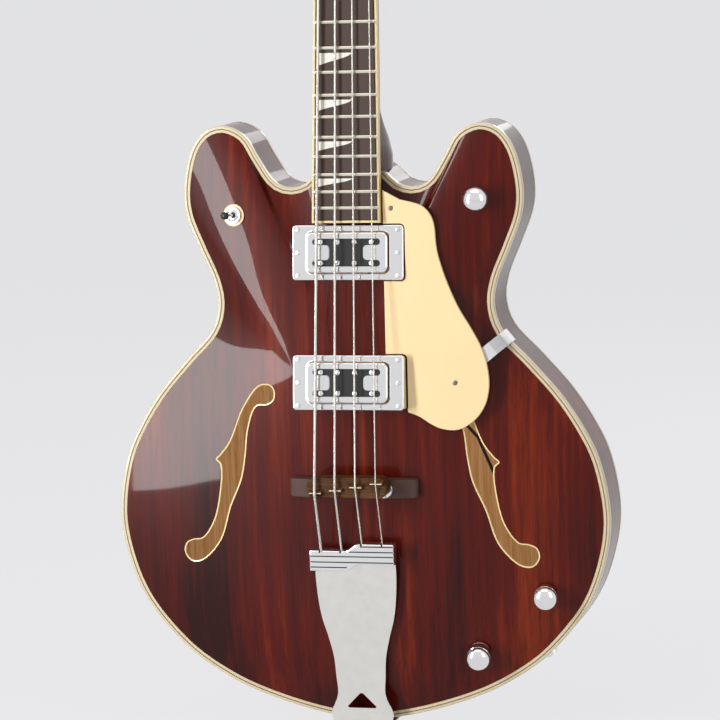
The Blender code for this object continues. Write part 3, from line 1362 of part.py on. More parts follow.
def make_switch():
    """The pickup selector: a round washer, the threaded housing with its nut, and the lever."""
    seat = surface_frame("switch_frame", SWITCH_PLACE)
    washer_top = GAP + SWITCH_WASHER_THICKNESS
    inner = SWITCH_BUSH_RADIUS + GAP
    washer = [
        (inner, washer_top), (SWITCH_WASHER_RADIUS, washer_top), (SWITCH_WASHER_RADIUS, GAP), (inner, GAP),
    ]
    add("switch_washer", turned_mesh(washer, KNOB_SIDES, bore=True), seat, "cream_plastic")
    under = -(PLATE_THICKNESS + UNDER_PLATE_CLEARANCE)
    nut_low = washer_top + GAP
    bottom = under - SWITCH_CAN_DEPTH
    housing = [
        (0, -SWITCH_BORE_DEPTH), (SWITCH_BORE_RADIUS, -SWITCH_BORE_DEPTH),
        (SWITCH_BORE_RADIUS, SWITCH_BUSH_TOP), (SWITCH_BUSH_RADIUS, SWITCH_BUSH_TOP),
        (SWITCH_BUSH_RADIUS, nut_low + SWITCH_NUT_HEIGHT), (SWITCH_NUT_RADIUS, nut_low + SWITCH_NUT_HEIGHT),
        (SWITCH_NUT_RADIUS, nut_low), (SWITCH_BUSH_RADIUS, nut_low), (SWITCH_BUSH_RADIUS, under),
        (SWITCH_CAN_RADIUS, under), (SWITCH_CAN_RADIUS, bottom), (0, bottom),
    ]
    add("switch_housing", turned_mesh(housing), seat, "chrome")
    pivot = frame("switch_lever_frame", seat)
    lean_axis = seat.matrix_world.inverted().to_3x3() @ Vector((0, 0, 1))
    lean_axis.z = 0
    pivot.matrix_basis = Matrix.Rotation(SWITCH_LEAN, 4, -lean_axis.normalized())
    ball, stem, tip = SWITCH_BALL_RADIUS, SWITCH_LEVER_RADIUS, SWITCH_TIP_RADIUS
    end = SWITCH_LEVER_LENGTH
    lever = [(0, end), (0.6 * tip, end - 0.0004), (0.9 * tip, end - 0.0016), (tip, end - 0.0036),
             (0.8 * tip, end - 0.0062), (stem, end - 0.0080)]
    lever += [
        (ball * math.sin(math.radians(a)), ball * math.cos(math.radians(a))) for a in (30, 60, 90, 120, 150)
    ]
    lever += [(stem, -0.0055), (0, -0.0055)]
    add("switch_lever", turned_mesh(lever, 10), pivot, "chrome")


def rim_frame(name, place, y):
    """A frame on the rim's outside whose Z points out, at the outline's point nearest to place."""
    nearest = int(np.argmin(np.linalg.norm(OUTLINE - np.array(place), axis=1)))
    run = OUTLINE[nearest + 1] - OUTLINE[nearest - 1]
    out = Vector((-run[1], 0, run[0])).normalized()
    empty = frame(name, BODY)
    centre = Vector((OUTLINE[nearest][0], y, OUTLINE[nearest][1]))
    empty.matrix_basis = Matrix.Translation(centre) @ along(out)
    bpy.context.view_layer.update()
    return empty


def make_jack():
    """The output jack through the rim, with its nut outside and its body inside."""
    seat = rim_frame("output_jack_frame", JACK_PLACE, BODY_DEPTH / 2)
    under = -(RIM_THICKNESS + JACK_CLEARANCE)
    bore = JACK_BORE_RADIUS
    profile = [
        (bore, JACK_STAND), (JACK_NUT_RADIUS, JACK_STAND), (JACK_NUT_RADIUS, GAP),
        (JACK_BARREL_RADIUS, GAP), (JACK_BARREL_RADIUS, under), (JACK_BODY_RADIUS, under),
        (JACK_BODY_RADIUS, under - JACK_BODY_LENGTH), (bore, under - JACK_BODY_LENGTH),
    ]
    add("output_jack", turned_mesh(profile, KNOB_SIDES, bore=True), seat, "chrome")
    rim = bpy.data.objects["body_rim"]
    cut(rim, rod_mesh((0, 0, -0.01), (0, 0, 0.01), JACK_BARREL_RADIUS + GAP), seat)
    return seat


def heel_button_line():
    """Where the heel's strap button screws in, from outside to inside."""
    z = (HEEL_CAP + HALF_OUTLINE[0][1]) / 2
    return (0, BODY_DEPTH + 0.001, z), (0, BODY_DEPTH - BUTTON_SHANK_LENGTH - GAP, z)


def strap_button(name, centre, direction):
    """A waisted button with its screw."""
    r, shank = BUTTON_RADIUS, BUTTON_SHANK_RADIUS
    profile = [
        (0, BUTTON_HEIGHT), (0.9 * r, BUTTON_HEIGHT), (r, BUTTON_HEIGHT - 0.0010),
        (r, BUTTON_HEIGHT - 0.0028), (0.55 * r, BUTTON_HEIGHT - 0.0052), (0.5 * r, 0.0032),
        (0.85 * r, 0.0010), (0.85 * r, 0), (shank, 0), (shank, -BUTTON_SHANK_LENGTH),
        (0, -BUTTON_SHANK_LENGTH),
    ]
    place = frame(f"{name}_frame", BODY)
    place.matrix_basis = Matrix.Translation(centre) @ along(direction)
    return add(name, turned_mesh(profile), place, "chrome")


def make_strap_buttons():
    _, inner = heel_button_line()
    strap_button("heel_strap_button", (0, BODY_DEPTH + GAP, inner[2]), (0, 1, 0))
    middle = BODY_DEPTH / 2
    outside = tail_strap_z() - TAIL_SHEET / 2 - GAP
    strap_button("tail_strap_button", (0, middle, outside), (0, 0, -1))
    rim = bpy.data.objects["body_rim"]
    shank = BUTTON_SHANK_RADIUS + GAP
    cut(rim, rod_mesh((0, middle, outside), (0, middle, outside + 0.03), shank, SCREW_SIDES))


def under_control(seat, depth, aside=(0, 0)):
    """A point in the body's frame, this deep inside along a control's axis."""
    return BODY.matrix_world.inverted() @ seat.matrix_world @ Vector((*aside, -depth))


def make_wiring(jack):
    """The cable from the output jack past the controls and pickups to the selector."""
    objects = bpy.data.objects
    can = PLATE_THICKNESS + UNDER_PLATE_CLEARANCE + POT_CAN_DEPTH
    pass_by = GAP + CABLE_RADIUS
    aside = (POT_SHAFT_RADIUS + 0.006, 0)
    tone = under_control(objects["tone_frame"], can + pass_by, aside)
    volume = under_control(objects["neck_volume_frame"], can + pass_by, aside)
    inner = RIM_THICKNESS + JACK_CLEARANCE + JACK_BODY_LENGTH
    socket = under_control(jack, inner + GAP, (JACK_BORE_RADIUS + 0.002, 0))
    away = under_control(jack, inner + 0.012, (JACK_BORE_RADIUS + 0.002, 0))
    under_bridge, under_neck = (
        BODY.matrix_world.inverted() @ objects[f"{name}_pickup_frame"].matrix_world
        @ Vector((0.018, COVER_BEHIND_STRINGS - RING_BEHIND_STRINGS + COVER_DEPTH + GAP
                  + BASE_PLATE_THICKNESS + pass_by, 0))
        for name in reversed(PICKUP_NAMES)
    )
    depth = PLATE_THICKNESS + UNDER_PLATE_CLEARANCE + SWITCH_CAN_DEPTH
    switch = under_control(objects["switch_frame"], depth + GAP, (0, 0))
    below_switch = under_control(objects["switch_frame"], depth + 0.012, (0, 0))
    route = [
        socket, away, tone + Vector((0.018, 0.012, 0.018)), tone, tone + Vector((0.0, 0.012, 0.028)),
        volume + Vector((-0.028, 0.008, 0.004)), volume, volume + Vector((-0.008, 0.010, 0.030)),
        Vector((0.126, 0.016, -0.262)), Vector((0.100, 0.018, -0.200)),
        Vector((0.055, 0.012, -0.158)), under_bridge, Vector((-0.006, 0.004, -0.125)),
        Vector((0.006, 0.010, -0.070)), under_neck, Vector((-0.020, 0.010, -0.030)),
        Vector((-0.062, 0.022, -0.016)), below_switch, switch,
    ]
    points = through(route[1:-1], 2)
    add("wiring_harness", tube_mesh([socket, *points, switch], CABLE_RADIUS, 1), BODY, "cable_sheath")


def make_tuner(index):
    """One tuner: base plate with its bushing and lugs, post with its gear, and key with its worm."""
    name = STRING_NAMES[index]
    side, (x, z) = post_place(index)
    post_frame = frame(f"tuner_{name}_frame", HEAD, (x, 0, z), math.radians(90))
    plate_front = -(HEAD_THICKNESS + GAP)
    plate_back = plate_front - TUNER_PLATE_THICKNESS
    bore = POST_RADIUS + RUNNING_GAP
    barrel = bore + BARREL_WALL
    worm_depth = plate_back - RUNNING_GAP - WORM_RADIUS
    worm_up = GEAR_RADIUS + WORM_RADIUS + RUNNING_GAP
    half = TUNER_PLATE_HALF_WIDTH

    plate = add(
        f"tuner_{name}_housing",
        block_mesh((-half, -TUNER_PLATE_BELOW, plate_back), (half, TUNER_PLATE_ABOVE, plate_front)),
        post_frame, "chrome",
    )
    bushing = [
        (0, GAP + FERRULE_HEIGHT), (FERRULE_RADIUS, GAP + FERRULE_HEIGHT), (FERRULE_RADIUS, GAP),
        (barrel, GAP), (barrel, plate_front - 0.001), (0, plate_front - 0.001),
    ]
    join(plate, turned_mesh(bushing))
    lug_inner = WORM_HALF_LENGTH + RUNNING_GAP
    lugs = []
    for sign in (-1, 1):
        edges = sorted((sign * lug_inner, sign * (lug_inner + LUG_THICKNESS)))
        lugs.append(block_mesh(
            (edges[0], worm_up - 0.0040, worm_depth - 0.0035),
            (edges[1], worm_up + 0.0040, plate_back + 0.0005),
        ))
    join(plate, merged(lugs))
    cut(plate, rod_mesh((0, 0, 0.02), (0, 0, -0.03), bore, SMALL_SIDES))
    key_bore = KEY_SHAFT_RADIUS + RUNNING_GAP
    cut(plate, rod_mesh((-0.03, worm_up, worm_depth), (0.03, worm_up, worm_depth), key_bore, SCREW_SIDES))

    gear_front = worm_depth + GEAR_THICKNESS / 2
    post = [
        (0, POST_HEIGHT), (POST_RADIUS - 0.0007, POST_HEIGHT), (POST_RADIUS, POST_HEIGHT - 0.0007),
        (POST_RADIUS, gear_front), (GEAR_RADIUS, gear_front), (GEAR_RADIUS, gear_front - GEAR_THICKNESS),
        (0, gear_front - GEAR_THICKNESS),
    ]
    add(f"tuner_{name}_post", turned_mesh(post), post_frame, "chrome")

    key_frame = frame(f"tuner_{name}_key_frame", post_frame, (0, worm_up, worm_depth))
    key_frame.matrix_basis = Matrix.Translation((0, worm_up, worm_depth)) @ along((side, 0, 0))
    reach = KEY_REACH - abs(x)
    inner_end = -(lug_inner + LUG_THICKNESS + 0.002)
    shaft = [
        (0, reach + 0.004), (KEY_SHAFT_RADIUS * 1.6, reach + 0.004), (KEY_SHAFT_RADIUS * 1.6, reach - 0.006),
        (KEY_SHAFT_RADIUS, reach - 0.008), (KEY_SHAFT_RADIUS, WORM_HALF_LENGTH),
        (WORM_RADIUS, WORM_HALF_LENGTH), (WORM_RADIUS, -WORM_HALF_LENGTH),
        (KEY_SHAFT_RADIUS, -WORM_HALF_LENGTH), (KEY_SHAFT_RADIUS, inner_end), (0, inner_end),
    ]
    key = add(f"tuner_{name}_key", turned_mesh(shaft, SCREW_SIDES), key_frame, "chrome")
    oval = [
        (KEY_BUTTON_HALF_LENGTH * math.cos(math.tau * i / 18),
         KEY_BUTTON_HALF_HEIGHT * math.sin(math.tau * i / 18))
        for i in range(18)
    ]
    button = flat_mesh([oval], -KEY_BUTTON_THICKNESS / 2, KEY_BUTTON_THICKNESS / 2)
    upright = Matrix.Rotation(math.radians(90), 4, "Y")
    button.transform(Matrix.Translation((0, 0, reach + KEY_BUTTON_HALF_LENGTH)) @ upright)
    join(key, button)


def main():
    make_body()
    make_neck()
    make_truss_rod()
    make_fingerboard()
    make_nut()
    for name, centre in zip(PICKUP_NAMES, PICKUP_CENTRES):
        make_pickup(name, centre)
    make_bridge()
    make_tailpiece()
    make_pickguard()
    for name, place in zip(KNOB_NAMES, KNOB_PLACES):
        make_knob(name, place)
    make_switch()
    make_wiring(make_jack())
    make_strap_buttons()
    for index in range(len(STRING_NAMES)):
        make_string(index)
        make_tuner(index)
    bpy.context.view_layer.update()


main()
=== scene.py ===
"""Looks of a hollow electric bass guitar: every visible surface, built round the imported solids.

Sizes are in metres. The row frame has its origin at the nut, +Z up the instrument, -Y out of
its front and +X towards the thinnest string. Three frames place the pieces in it: the neck's,
pitched back, the head's, tilted back further, and the body's, which stands upright.
"""

import json
import logging
from collections.abc import Callable, Sequence
from dataclasses import dataclass, field
from enum import Enum
from math import asin, atan2, copysign, cos, hypot, pi, radians, sin, tan, tau

import bmesh
import bpy
from mathutils import Matrix, Vector
from mathutils.bvhtree import BVHTree


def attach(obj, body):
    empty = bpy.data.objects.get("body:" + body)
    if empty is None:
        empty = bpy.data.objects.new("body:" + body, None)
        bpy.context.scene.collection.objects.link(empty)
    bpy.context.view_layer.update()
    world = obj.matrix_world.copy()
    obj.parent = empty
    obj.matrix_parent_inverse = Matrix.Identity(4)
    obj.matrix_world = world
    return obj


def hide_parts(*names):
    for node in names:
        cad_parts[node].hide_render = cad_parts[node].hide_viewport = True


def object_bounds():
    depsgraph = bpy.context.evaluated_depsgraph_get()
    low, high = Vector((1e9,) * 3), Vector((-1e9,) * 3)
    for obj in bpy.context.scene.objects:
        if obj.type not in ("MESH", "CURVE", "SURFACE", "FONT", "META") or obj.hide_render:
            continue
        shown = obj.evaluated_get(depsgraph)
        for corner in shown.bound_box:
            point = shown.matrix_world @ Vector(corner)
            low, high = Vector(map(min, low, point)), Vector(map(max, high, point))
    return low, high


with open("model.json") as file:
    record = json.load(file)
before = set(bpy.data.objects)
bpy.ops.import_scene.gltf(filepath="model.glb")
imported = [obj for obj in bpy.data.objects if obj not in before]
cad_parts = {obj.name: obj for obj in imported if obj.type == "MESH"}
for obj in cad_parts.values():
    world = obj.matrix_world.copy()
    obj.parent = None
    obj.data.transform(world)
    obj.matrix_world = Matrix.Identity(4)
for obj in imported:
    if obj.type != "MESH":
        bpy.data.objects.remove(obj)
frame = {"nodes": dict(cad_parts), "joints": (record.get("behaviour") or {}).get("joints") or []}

LOG = logging.getLogger("bass_guitar")
CAD_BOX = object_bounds()

Point = Vector | tuple[float, ...]
Pair = tuple[float, float]
Triple = tuple[float, float, float]
Quad = tuple[float, float, float, float]
Outline = list[Pair]
Shape = bmesh.types.BMesh

# Fit between pieces, and the fixed body that carries everything which doesn't turn
GAP = 0.0003
FIXED = "instrument"

# Scale, neck and the three frames
SCALE_LENGTH = 0.8128
FRET_COUNT = 22
NECK_PITCH = radians(6.4)
HEAD_TILT = radians(12.0)
NUT_THICKNESS = 0.0055
BOARD_THICKNESS = 0.0062
BOARD_OVER_BINDING_PLANE = 0.0207
HEAD_FACE = BOARD_THICKNESS + GAP
BODY_DEPTH = 0.057


def fret_distance(number: float) -> float:
    """How far this fret lies from the nut, by the twelfth root of two."""
    return SCALE_LENGTH * (1 - 2 ** (-number / 12))


def at(*place: float) -> Matrix:
    """A move to this place."""
    return Matrix.Translation(place)


LAST_FRET = fret_distance(FRET_COUNT)
NECK = Matrix.Rotation(-NECK_PITCH, 4, "X")
HEAD = NECK @ at(0, HEAD_FACE, NUT_THICKNESS) @ Matrix.Rotation(-HEAD_TILT, 4, "X")
BODY = at(0, BOARD_OVER_BINDING_PLANE - LAST_FRET * sin(NECK_PITCH), -LAST_FRET * cos(NECK_PITCH))


def between(point: Point, source: Matrix, target: Matrix) -> Vector:
    """The point of one frame, in another."""
    return target.inverted() @ source @ Vector(point)


def upright(direction: Point) -> Matrix:
    """A rotation that turns +Z to this direction."""
    return Vector(direction).to_track_quat("Z", "Y").to_matrix().to_4x4()


def through(points: Sequence[Point], samples: int, closed: bool = False) -> list[Vector]:
    """A smooth curve through the points, as a centripetal Catmull-Rom spline.

    Args:
        points: The points that the curve passes.
        samples: How many steps each stretch between two points takes.
        closed: Whether the curve runs back to its first point.

    Returns:
        The curve's points, without a repeat of the first one where it is closed.
    """
    knots = [Vector(point) for point in points]
    if closed:
        ends = [knots[-1], *knots, knots[0], knots[1]]
    else:
        ends = [2 * knots[0] - knots[1], *knots, 2 * knots[-1] - knots[-2]]
    curve = []
    for a, b, c, d in zip(ends, ends[1:], ends[2:], ends[3:]):
        t1 = (b - a).length ** 0.5
        t2 = t1 + (c - b).length ** 0.5
        t3 = t2 + (d - c).length ** 0.5
        for step in range(samples):
            t = t1 + (t2 - t1) * step / samples
            ab = a.lerp(b, t / t1)
            bc = b.lerp(c, (t - t1) / (t2 - t1))
            cd = c.lerp(d, (t - t2) / (t3 - t2))
            abc = ab.lerp(bc, t / t2)
            bcd = bc.lerp(cd, (t - t1) / (t3 - t1))
            curve.append(abc.lerp(bcd, (t - t1) / (t2 - t1)))
    return curve if closed else [*curve, knots[-1]]


def rounded_rectangle(half_x: float, half_z: float, corner: float, steps: int = 6) -> Outline:
    """A rectangle with quarter-circle corners, as clockwise (x, z) points.

    Args:
        half_x: Half its width.
        half_z: Half its height.
        corner: Its corners' radius.
        steps: How many steps a corner takes.

    Returns:
        The outline.
    """
    turns = [pi / 2 * i / steps for i in range(steps + 1)]
    quarter = [(half_x - corner * (1 - cos(a)), half_z - corner * (1 - sin(a))) for a in turns]
    loop = quarter + [(-x, z) for x, z in reversed(quarter)]
    loop += [(-x, -z) for x, z in quarter] + [(x, -z) for x, z in reversed(quarter)]
    return loop[::-1]


@dataclass
class Link:
    """An output socket among a material's nodes, with arithmetic on its value."""

    nodes: "Nodes"
    socket: bpy.types.NodeSocket

    def __add__(self, other: "Link | float") -> "Link":
        """The sum with another value."""
        return self.nodes.math("ADD", self, other)

    def __mul__(self, other: "Link | float") -> "Link":
        """The product with another value."""
        return self.nodes.math("MULTIPLY", self, other)


class Nodes:
    """The nodes of one material or world, made round the shader that it starts with."""

    def __init__(self, owner: bpy.types.Material | bpy.types.World, shader: str = "Principled BSDF") -> None:
        """Turns on the owner's nodes.

        Args:
            owner: What the nodes belong to.
            shader: The name of its first shader.
        """
        owner.use_nodes = True
        self.owner = owner
        self.tree = owner.node_tree
        self.shader = self.tree.nodes[shader]

    def add(
        self, kind: str, settings: dict[str, object], inputs: dict[int | str, object], output: int | str = 0,
    ) -> Link:
        """Adds one node.

        Args:
            kind: The node's type.
            settings: Its properties, set first; a ramp's are given as "stops".
            inputs: Its sockets, by name or number, with their values or links.
            output: The name or number of the output that is returned.

        Returns:
            The output as a link.
        """
        node = self.tree.nodes.new(kind)
        for key, value in settings.items():
            if key == "stops":
                self._stops(node.color_ramp, value)
            else:
                setattr(node, key, value)
        for key, value in inputs.items():
            self.feed(node.inputs[key], value)
        return Link(self, node.outputs[output])

    def feed(self, socket: bpy.types.NodeSocket, value: object) -> None:
        """Links a socket, or sets its value."""
        if isinstance(value, Link):
            self.tree.links.new(value.socket, socket)
        else:
            socket.default_value = value

    @staticmethod
    def _stops(ramp: bpy.types.ColorRamp, stops: Sequence[tuple[float, Sequence[float]]]) -> None:
        """Sets a ramp's places and colours.

        Args:
            ramp: The ramp.
            stops: Each place with its colour.
        """
        while len(ramp.elements) < len(stops):
            ramp.elements.new(1.0)
        for element, (place, tone) in zip(ramp.elements, stops):
            element.position = place
            element.color = (*tone[:3], 1.0)

    def math(self, operation: str, *values: Link | float) -> Link:
        """One Math node on one value or two."""
        return self.add("ShaderNodeMath", {"operation": operation}, dict(enumerate(values)))

    def noise(
        self, stretch: Point, scale: float, detail: float = 3.0, roughness: float = 0.5, swirl: float = 0.0,
    ) -> Link:
        """A noise pattern on the piece.

        Args:
            stretch: How much finer it is along each axis.
            scale: How fine it is.
            detail: How many finer layers it has.
            roughness: How strong those are.
            swirl: How far it is twisted.

        Returns:
            Its value.
        """
        here = self.add("ShaderNodeTexCoord", {}, {}, 3)
        place = self.add("ShaderNodeMapping", {}, {"Vector": here, "Scale": stretch})
        return self.add("ShaderNodeTexNoise", {}, {
            "Vector": place, "Scale": scale, "Detail": detail, "Roughness": roughness, "Distortion": swirl,
        })

    def ramp(self, value: Link, *stops: tuple[float, Sequence[float]]) -> Link:
        """Colours along a value."""
        return self.add("ShaderNodeValToRGB", {"stops": stops}, {0: value})

    def mix(self, share: Link | float, first: object, second: object, blend: str = "MIX") -> Link:
        """Two colours mixed by a share."""
        settings = {"data_type": "RGBA", "blend_type": blend}
        return self.add("ShaderNodeMix", settings, {0: share, 6: first, 7: second}, 2)

    def bump(self, height: Link, depth: float, strength: float = 1.0) -> Link:
        """A normal from a height of this depth in metres."""
        return self.add("ShaderNodeBump", {}, {"Height": height, "Distance": depth, "Strength": strength})

    def ray(self, kind: str, *others: str) -> Link:
        """1 for these kinds of ray, by their names in Light Path, and 0 for every other kind."""
        here = self.add("ShaderNodeLightPath", {}, {}, f"Is {kind} Ray")
        if not others:
            return here
        return self.math("MAXIMUM", here, self.ray(*others))

    def done(self, **sockets: object) -> bpy.types.Material | bpy.types.World:
        """Feeds the shader's sockets, named with underscores for spaces, and gives the owner."""
        for name, value in sockets.items():
            self.feed(self.shader.inputs[name.replace("_", " ")], value)
        return self.owner


def colour(screen: Sequence[float]) -> Quad:
    """A screen colour as the linear colour that a shader takes.

    Args:
        screen: Its red, green and blue, from 0 to 255.

    Returns:
        The linear red, green and blue, and 1 for opaque.
    """
    shares = [part / 255 for part in screen]
    return (*(s / 12.92 if s <= 0.04045 else ((s + 0.055) / 1.055) ** 2.4 for s in shares), 1.0)


# A pattern that isn't stretched
EVEN = (1, 1, 1)


@dataclass(frozen=True)
class Finish:
    """A material that a piece is made of or coated with."""

    name: str

    def material(self) -> bpy.types.Material:
        """The material, made once and then found by its name."""
        if self.name not in bpy.data.materials:
            self.make(Nodes(bpy.data.materials.new(self.name)))
        return bpy.data.materials[self.name]

    def make(self, nodes: Nodes) -> None:
        """Builds the nodes; each kind of finish has its own."""
        raise NotImplementedError


@dataclass(frozen=True)
class Lacquer(Finish):
    """Clear gloss over stained wood, with the grain running up the instrument."""

    dark: tuple = (40, 2, 0)
    middle: tuple = (82, 11, 0)
    light: tuple = (132, 44, 3)
    coat: float = 0.7

    def make(self, nodes: Nodes) -> None:
        """Builds figured, stained wood under a smooth coat.

        Args:
            nodes: The material's nodes.
        """
        broad = nodes.noise((9, 9, 2.2), 1.0, 2.0)
        streaks = nodes.noise((150, 60, 5), 1.0, 5.0, 0.6)
        pores = nodes.noise((900, 500, 26), 1.0, 2.0, 0.7)
        tone = broad * 0.62 + streaks * 0.38
        stains = ((0.36, colour(self.dark)), (0.52, colour(self.middle)), (0.68, colour(self.light)))
        wood = nodes.ramp(tone, *stains)
        pore_share = nodes.ramp(pores, (0.3, (0.45, 0.45, 0.45)), (0.46, (1, 1, 1)))
        wood = nodes.mix(0.75, wood, pore_share, "MULTIPLY")
        nodes.done(
            Base_Color=wood, Roughness=0.38, Specular_IOR_Level=0.1, Coat_Weight=self.coat,
            Coat_Roughness=0.035, Coat_IOR=1.27, Normal=nodes.bump(pores * 0.4 + streaks, 0.00004),
        )


@dataclass(frozen=True)
class Plastic(Finish):
    """A smooth moulding, with a faint cloud in its colour and fine wear in its shine."""

    tone: tuple = (233, 200, 148)
    deep: tuple = (224, 186, 132)
    rough: float = 0.28

    def make(self, nodes: Nodes) -> None:
        """Builds a two-tone moulding with a soft sheen.

        Args:
            nodes: The material's nodes.
        """
        cloud = nodes.noise(EVEN, 34.0, 3.0)
        wear = nodes.noise((1, 1, 0.3), 260.0, 4.0, 0.65)
        sheen = wear * 0.16 + (self.rough - 0.08)
        nodes.done(
            Base_Color=nodes.mix(cloud, colour(self.tone), colour(self.deep)), Roughness=sheen,
            Coat_Weight=0.35, Coat_Roughness=0.1, Normal=nodes.bump(wear, 0.00003),
        )


@dataclass(frozen=True)
class Plies(Finish):
    """Layered binding: pale, with a thin dark line along the middle of its width."""

    pale: tuple = (216, 200, 166)
    line: tuple = (88, 76, 62)

    def make(self, nodes: Nodes) -> None:
        """Colours the binding by an attribute that runs across its face.

        Args:
            nodes: The material's nodes.
        """
        across = nodes.add("ShaderNodeAttribute", {"attribute_name": "across"}, {}, 2)
        stain = nodes.noise(EVEN, 60.0, 3.0)
        pale = nodes.mix(stain, colour(self.pale), colour((200, 182, 142)))
        levels = ((0.0, 0), (0.44, 0), (0.47, 1), (0.6, 1), (0.63, 0))
        share = nodes.ramp(across, *((place, (level,) * 3) for place, level in levels))
        nodes.done(
            Base_Color=nodes.mix(share, pale, colour(self.line)), Roughness=0.3,
            Coat_Weight=0.9, Coat_Roughness=0.05, Normal=nodes.bump(stain, 0.00003),
        )


@dataclass(frozen=True)
class OpenWood(Finish):
    """Oiled or bare wood, with open pores and no coat."""

    dark: tuple = (38, 26, 20)
    light: tuple = (88, 68, 52)
    rough: float = 0.5
    pore: tuple = (0.35, 0.35, 0.35)
    # How strongly the wood glows without a lamp: painted light, used only by the wood inside the body
    glow: float = 0.0
    gloss: float = 0.25
    grain: tuple = (260, 120, 7)

    def make(self, nodes: Nodes) -> None:
        """Builds straight, streaky grain with long dark pores.

        Args:
            nodes: The material's nodes.
        """
        figure = nodes.noise(self.grain, 1.0, 4.0, 0.6)
        streaks = nodes.noise(tuple(part * 3 for part in self.grain), 1.0, 3.0, 0.7)
        tone = figure * 0.6 + streaks * 0.4
        wood = nodes.ramp(tone, (0.34, colour(self.dark)), (0.66, colour(self.light)))
        pores = nodes.noise(tuple(part * 6.5 for part in self.grain), 1.0, 1.0)
        share = nodes.ramp(pores, (0.32, self.pore), (0.44, (1, 1, 1)))
        wood = nodes.mix(0.8, wood, share, "MULTIPLY")
        nodes.done(
            Base_Color=wood, Roughness=streaks * 0.2 + (self.rough - 0.1),
            Specular_IOR_Level=self.gloss, Emission_Color=wood, Emission_Strength=self.glow,
            Normal=nodes.bump(pores + streaks, 0.00009, 0.7),
        )


@dataclass(frozen=True)
class Metal(Finish):
    """Plated or bare metal, with fine marks in its shine."""

    tone: tuple = (226, 226, 228)
    rough: float = 0.08
    marks: float = 0.07
    depth: float = 0.00001

    def make(self, nodes: Nodes) -> None:
        """Builds a metal whose shine varies with haze and hairlines.

        Args:
            nodes: The material's nodes.
        """
        haze = nodes.noise(EVEN, 90.0, 4.0, 0.6)
        lines = nodes.noise((1, 1, 0.06), 1400.0, 2.0)
        tone = colour(self.tone)
        dim = tuple(part * 0.86 for part in tone[:3]) + (1.0,)
        nodes.done(
            Base_Color=nodes.mix(haze, dim, tone), Metallic=1.0,
            Roughness=haze * self.marks + lines * (self.marks * 0.5) + self.rough,
            Normal=nodes.bump(lines + haze, self.depth),
        )


@dataclass(frozen=True)
class Winding(Finish):
    """Flat or round ribbon wound tightly round a string's core."""

    pitch: float = 0.0009

    def make(self, nodes: Nodes) -> None:
        """Builds turns along the string by the length that its attribute gives.

        Args:
            nodes: The material's nodes.
        """
        along = nodes.add("ShaderNodeAttribute", {"attribute_name": "along"}, {}, 2)
        turn = nodes.math("SINE", along * (tau / self.pitch))
        tarnish = nodes.noise((1, 1, 0.25), 120.0, 4.0)
        nodes.done(
            Base_Color=nodes.mix(tarnish, colour((176, 172, 164)), colour((222, 219, 212))), Metallic=1.0,
            Roughness=tarnish * 0.12 + 0.2, Normal=nodes.bump(turn, 0.00007, 0.8),
        )


@dataclass(frozen=True)
class Pearl(Finish):
    """Mother of pearl or its imitation, cloudy and faintly tinted."""

    def make(self, nodes: Nodes) -> None:
        """Builds swirled pale bands under a polish.

        Args:
            nodes: The material's nodes.
        """
        swirl = nodes.noise((1, 1, 0.6), 130.0, 5.0, swirl=2.4)
        tint = nodes.ramp(swirl, *((share, colour(tone)) for share, tone in (
            (0.25, (206, 202, 190)), (0.45, (236, 228, 212)), (0.6, (222, 226, 220)), (0.8, (246, 240, 224)),
        )))
        nodes.done(
            Base_Color=tint, Roughness=swirl * 0.15 + 0.12, Coat_Weight=0.6, Coat_Roughness=0.06,
            Normal=nodes.bump(swirl, 0.00003),
        )


@dataclass(frozen=True)
class Sheath(Finish):
    """A wire's soft plastic sheath."""

    tone: tuple = (28, 34, 78)

    def make(self, nodes: Nodes) -> None:
        """Builds a dull skin with small dents.

        Args:
            nodes: The material's nodes.
        """
        dents = nodes.noise(EVEN, 700.0, 3.0)
        pale = tuple(min(255, part + 22) for part in self.tone)
        nodes.done(
            Base_Color=nodes.mix(dents, colour(self.tone), colour(pale)), Roughness=dents * 0.2 + 0.38,
            Normal=nodes.bump(dents, 0.0001),
        )


WALNUT = Lacquer("lacquered_body")
NECK_WOOD = Lacquer("lacquered_neck", (58, 12, 5), (88, 26, 10), (116, 46, 18))
HEAD_FACE_WOOD = Lacquer("lacquered_head_face", (22, 8, 6), (34, 12, 8), (50, 20, 12))
BINDING = Plies("layered_binding")
BOARD_WOOD = OpenWood("fingerboard_wood")
BRIDGE_WOOD = OpenWood("bridge_wood", (6, 5, 5), (22, 16, 14), 0.5, gloss=0.03)
SADDLE_WOOD = OpenWood("saddle_rosewood", (20, 9, 4), (112, 76, 48), 0.42, gloss=0.08, grain=(9, 120, 300))
# The inside wood is bare wood, lightened further and glowing faintly: painted light standing in for light
# that falls in through the f-holes
INSIDE_WOOD_WITH_PAINTED_LIGHT = OpenWood("bare_inside_wood_painted_lit", (205, 160, 104), (248, 220, 172), 0.62, (0.8, 0.78, 0.72), 0.16)
CREAM = Plastic("cream_plastic")
BOARD_EDGE = Plastic("board_binding", (242, 222, 168), (230, 202, 138), 0.24)
BLACK = Plastic("black_plastic", (15, 14, 14), (24, 22, 21), 0.34)
BONE = Plastic("bone", (232, 224, 200), (216, 202, 170), 0.34)
CHROME = Metal("chrome")
POLISHED = Metal("polished_plate", (238, 236, 230), 0.13, 0.1)
STEEL = Metal("steel", (176, 174, 170), 0.26, 0.14, 0.00002)
DARK_STEEL = Metal("dark_screw_steel", (120, 112, 100), 0.3, 0.14, 0.00002)
FRET_METAL = Metal("fret_metal", (214, 208, 192), 0.16, 0.1)
WOUND = Winding("wound_string")
BRASS = Metal("brass_ball", (206, 168, 96), 0.24, 0.12)
PEARL = Pearl("pearl")
BLUE_SHEATH = Sheath("blue_sheath")

# How near two points are when they count as one
MERGED = 1e-6


def raised(outline: Outline, y: float) -> list[Triple]:
    """The (x, z) outline at this y."""
    return [(x, y, z) for x, z in outline]


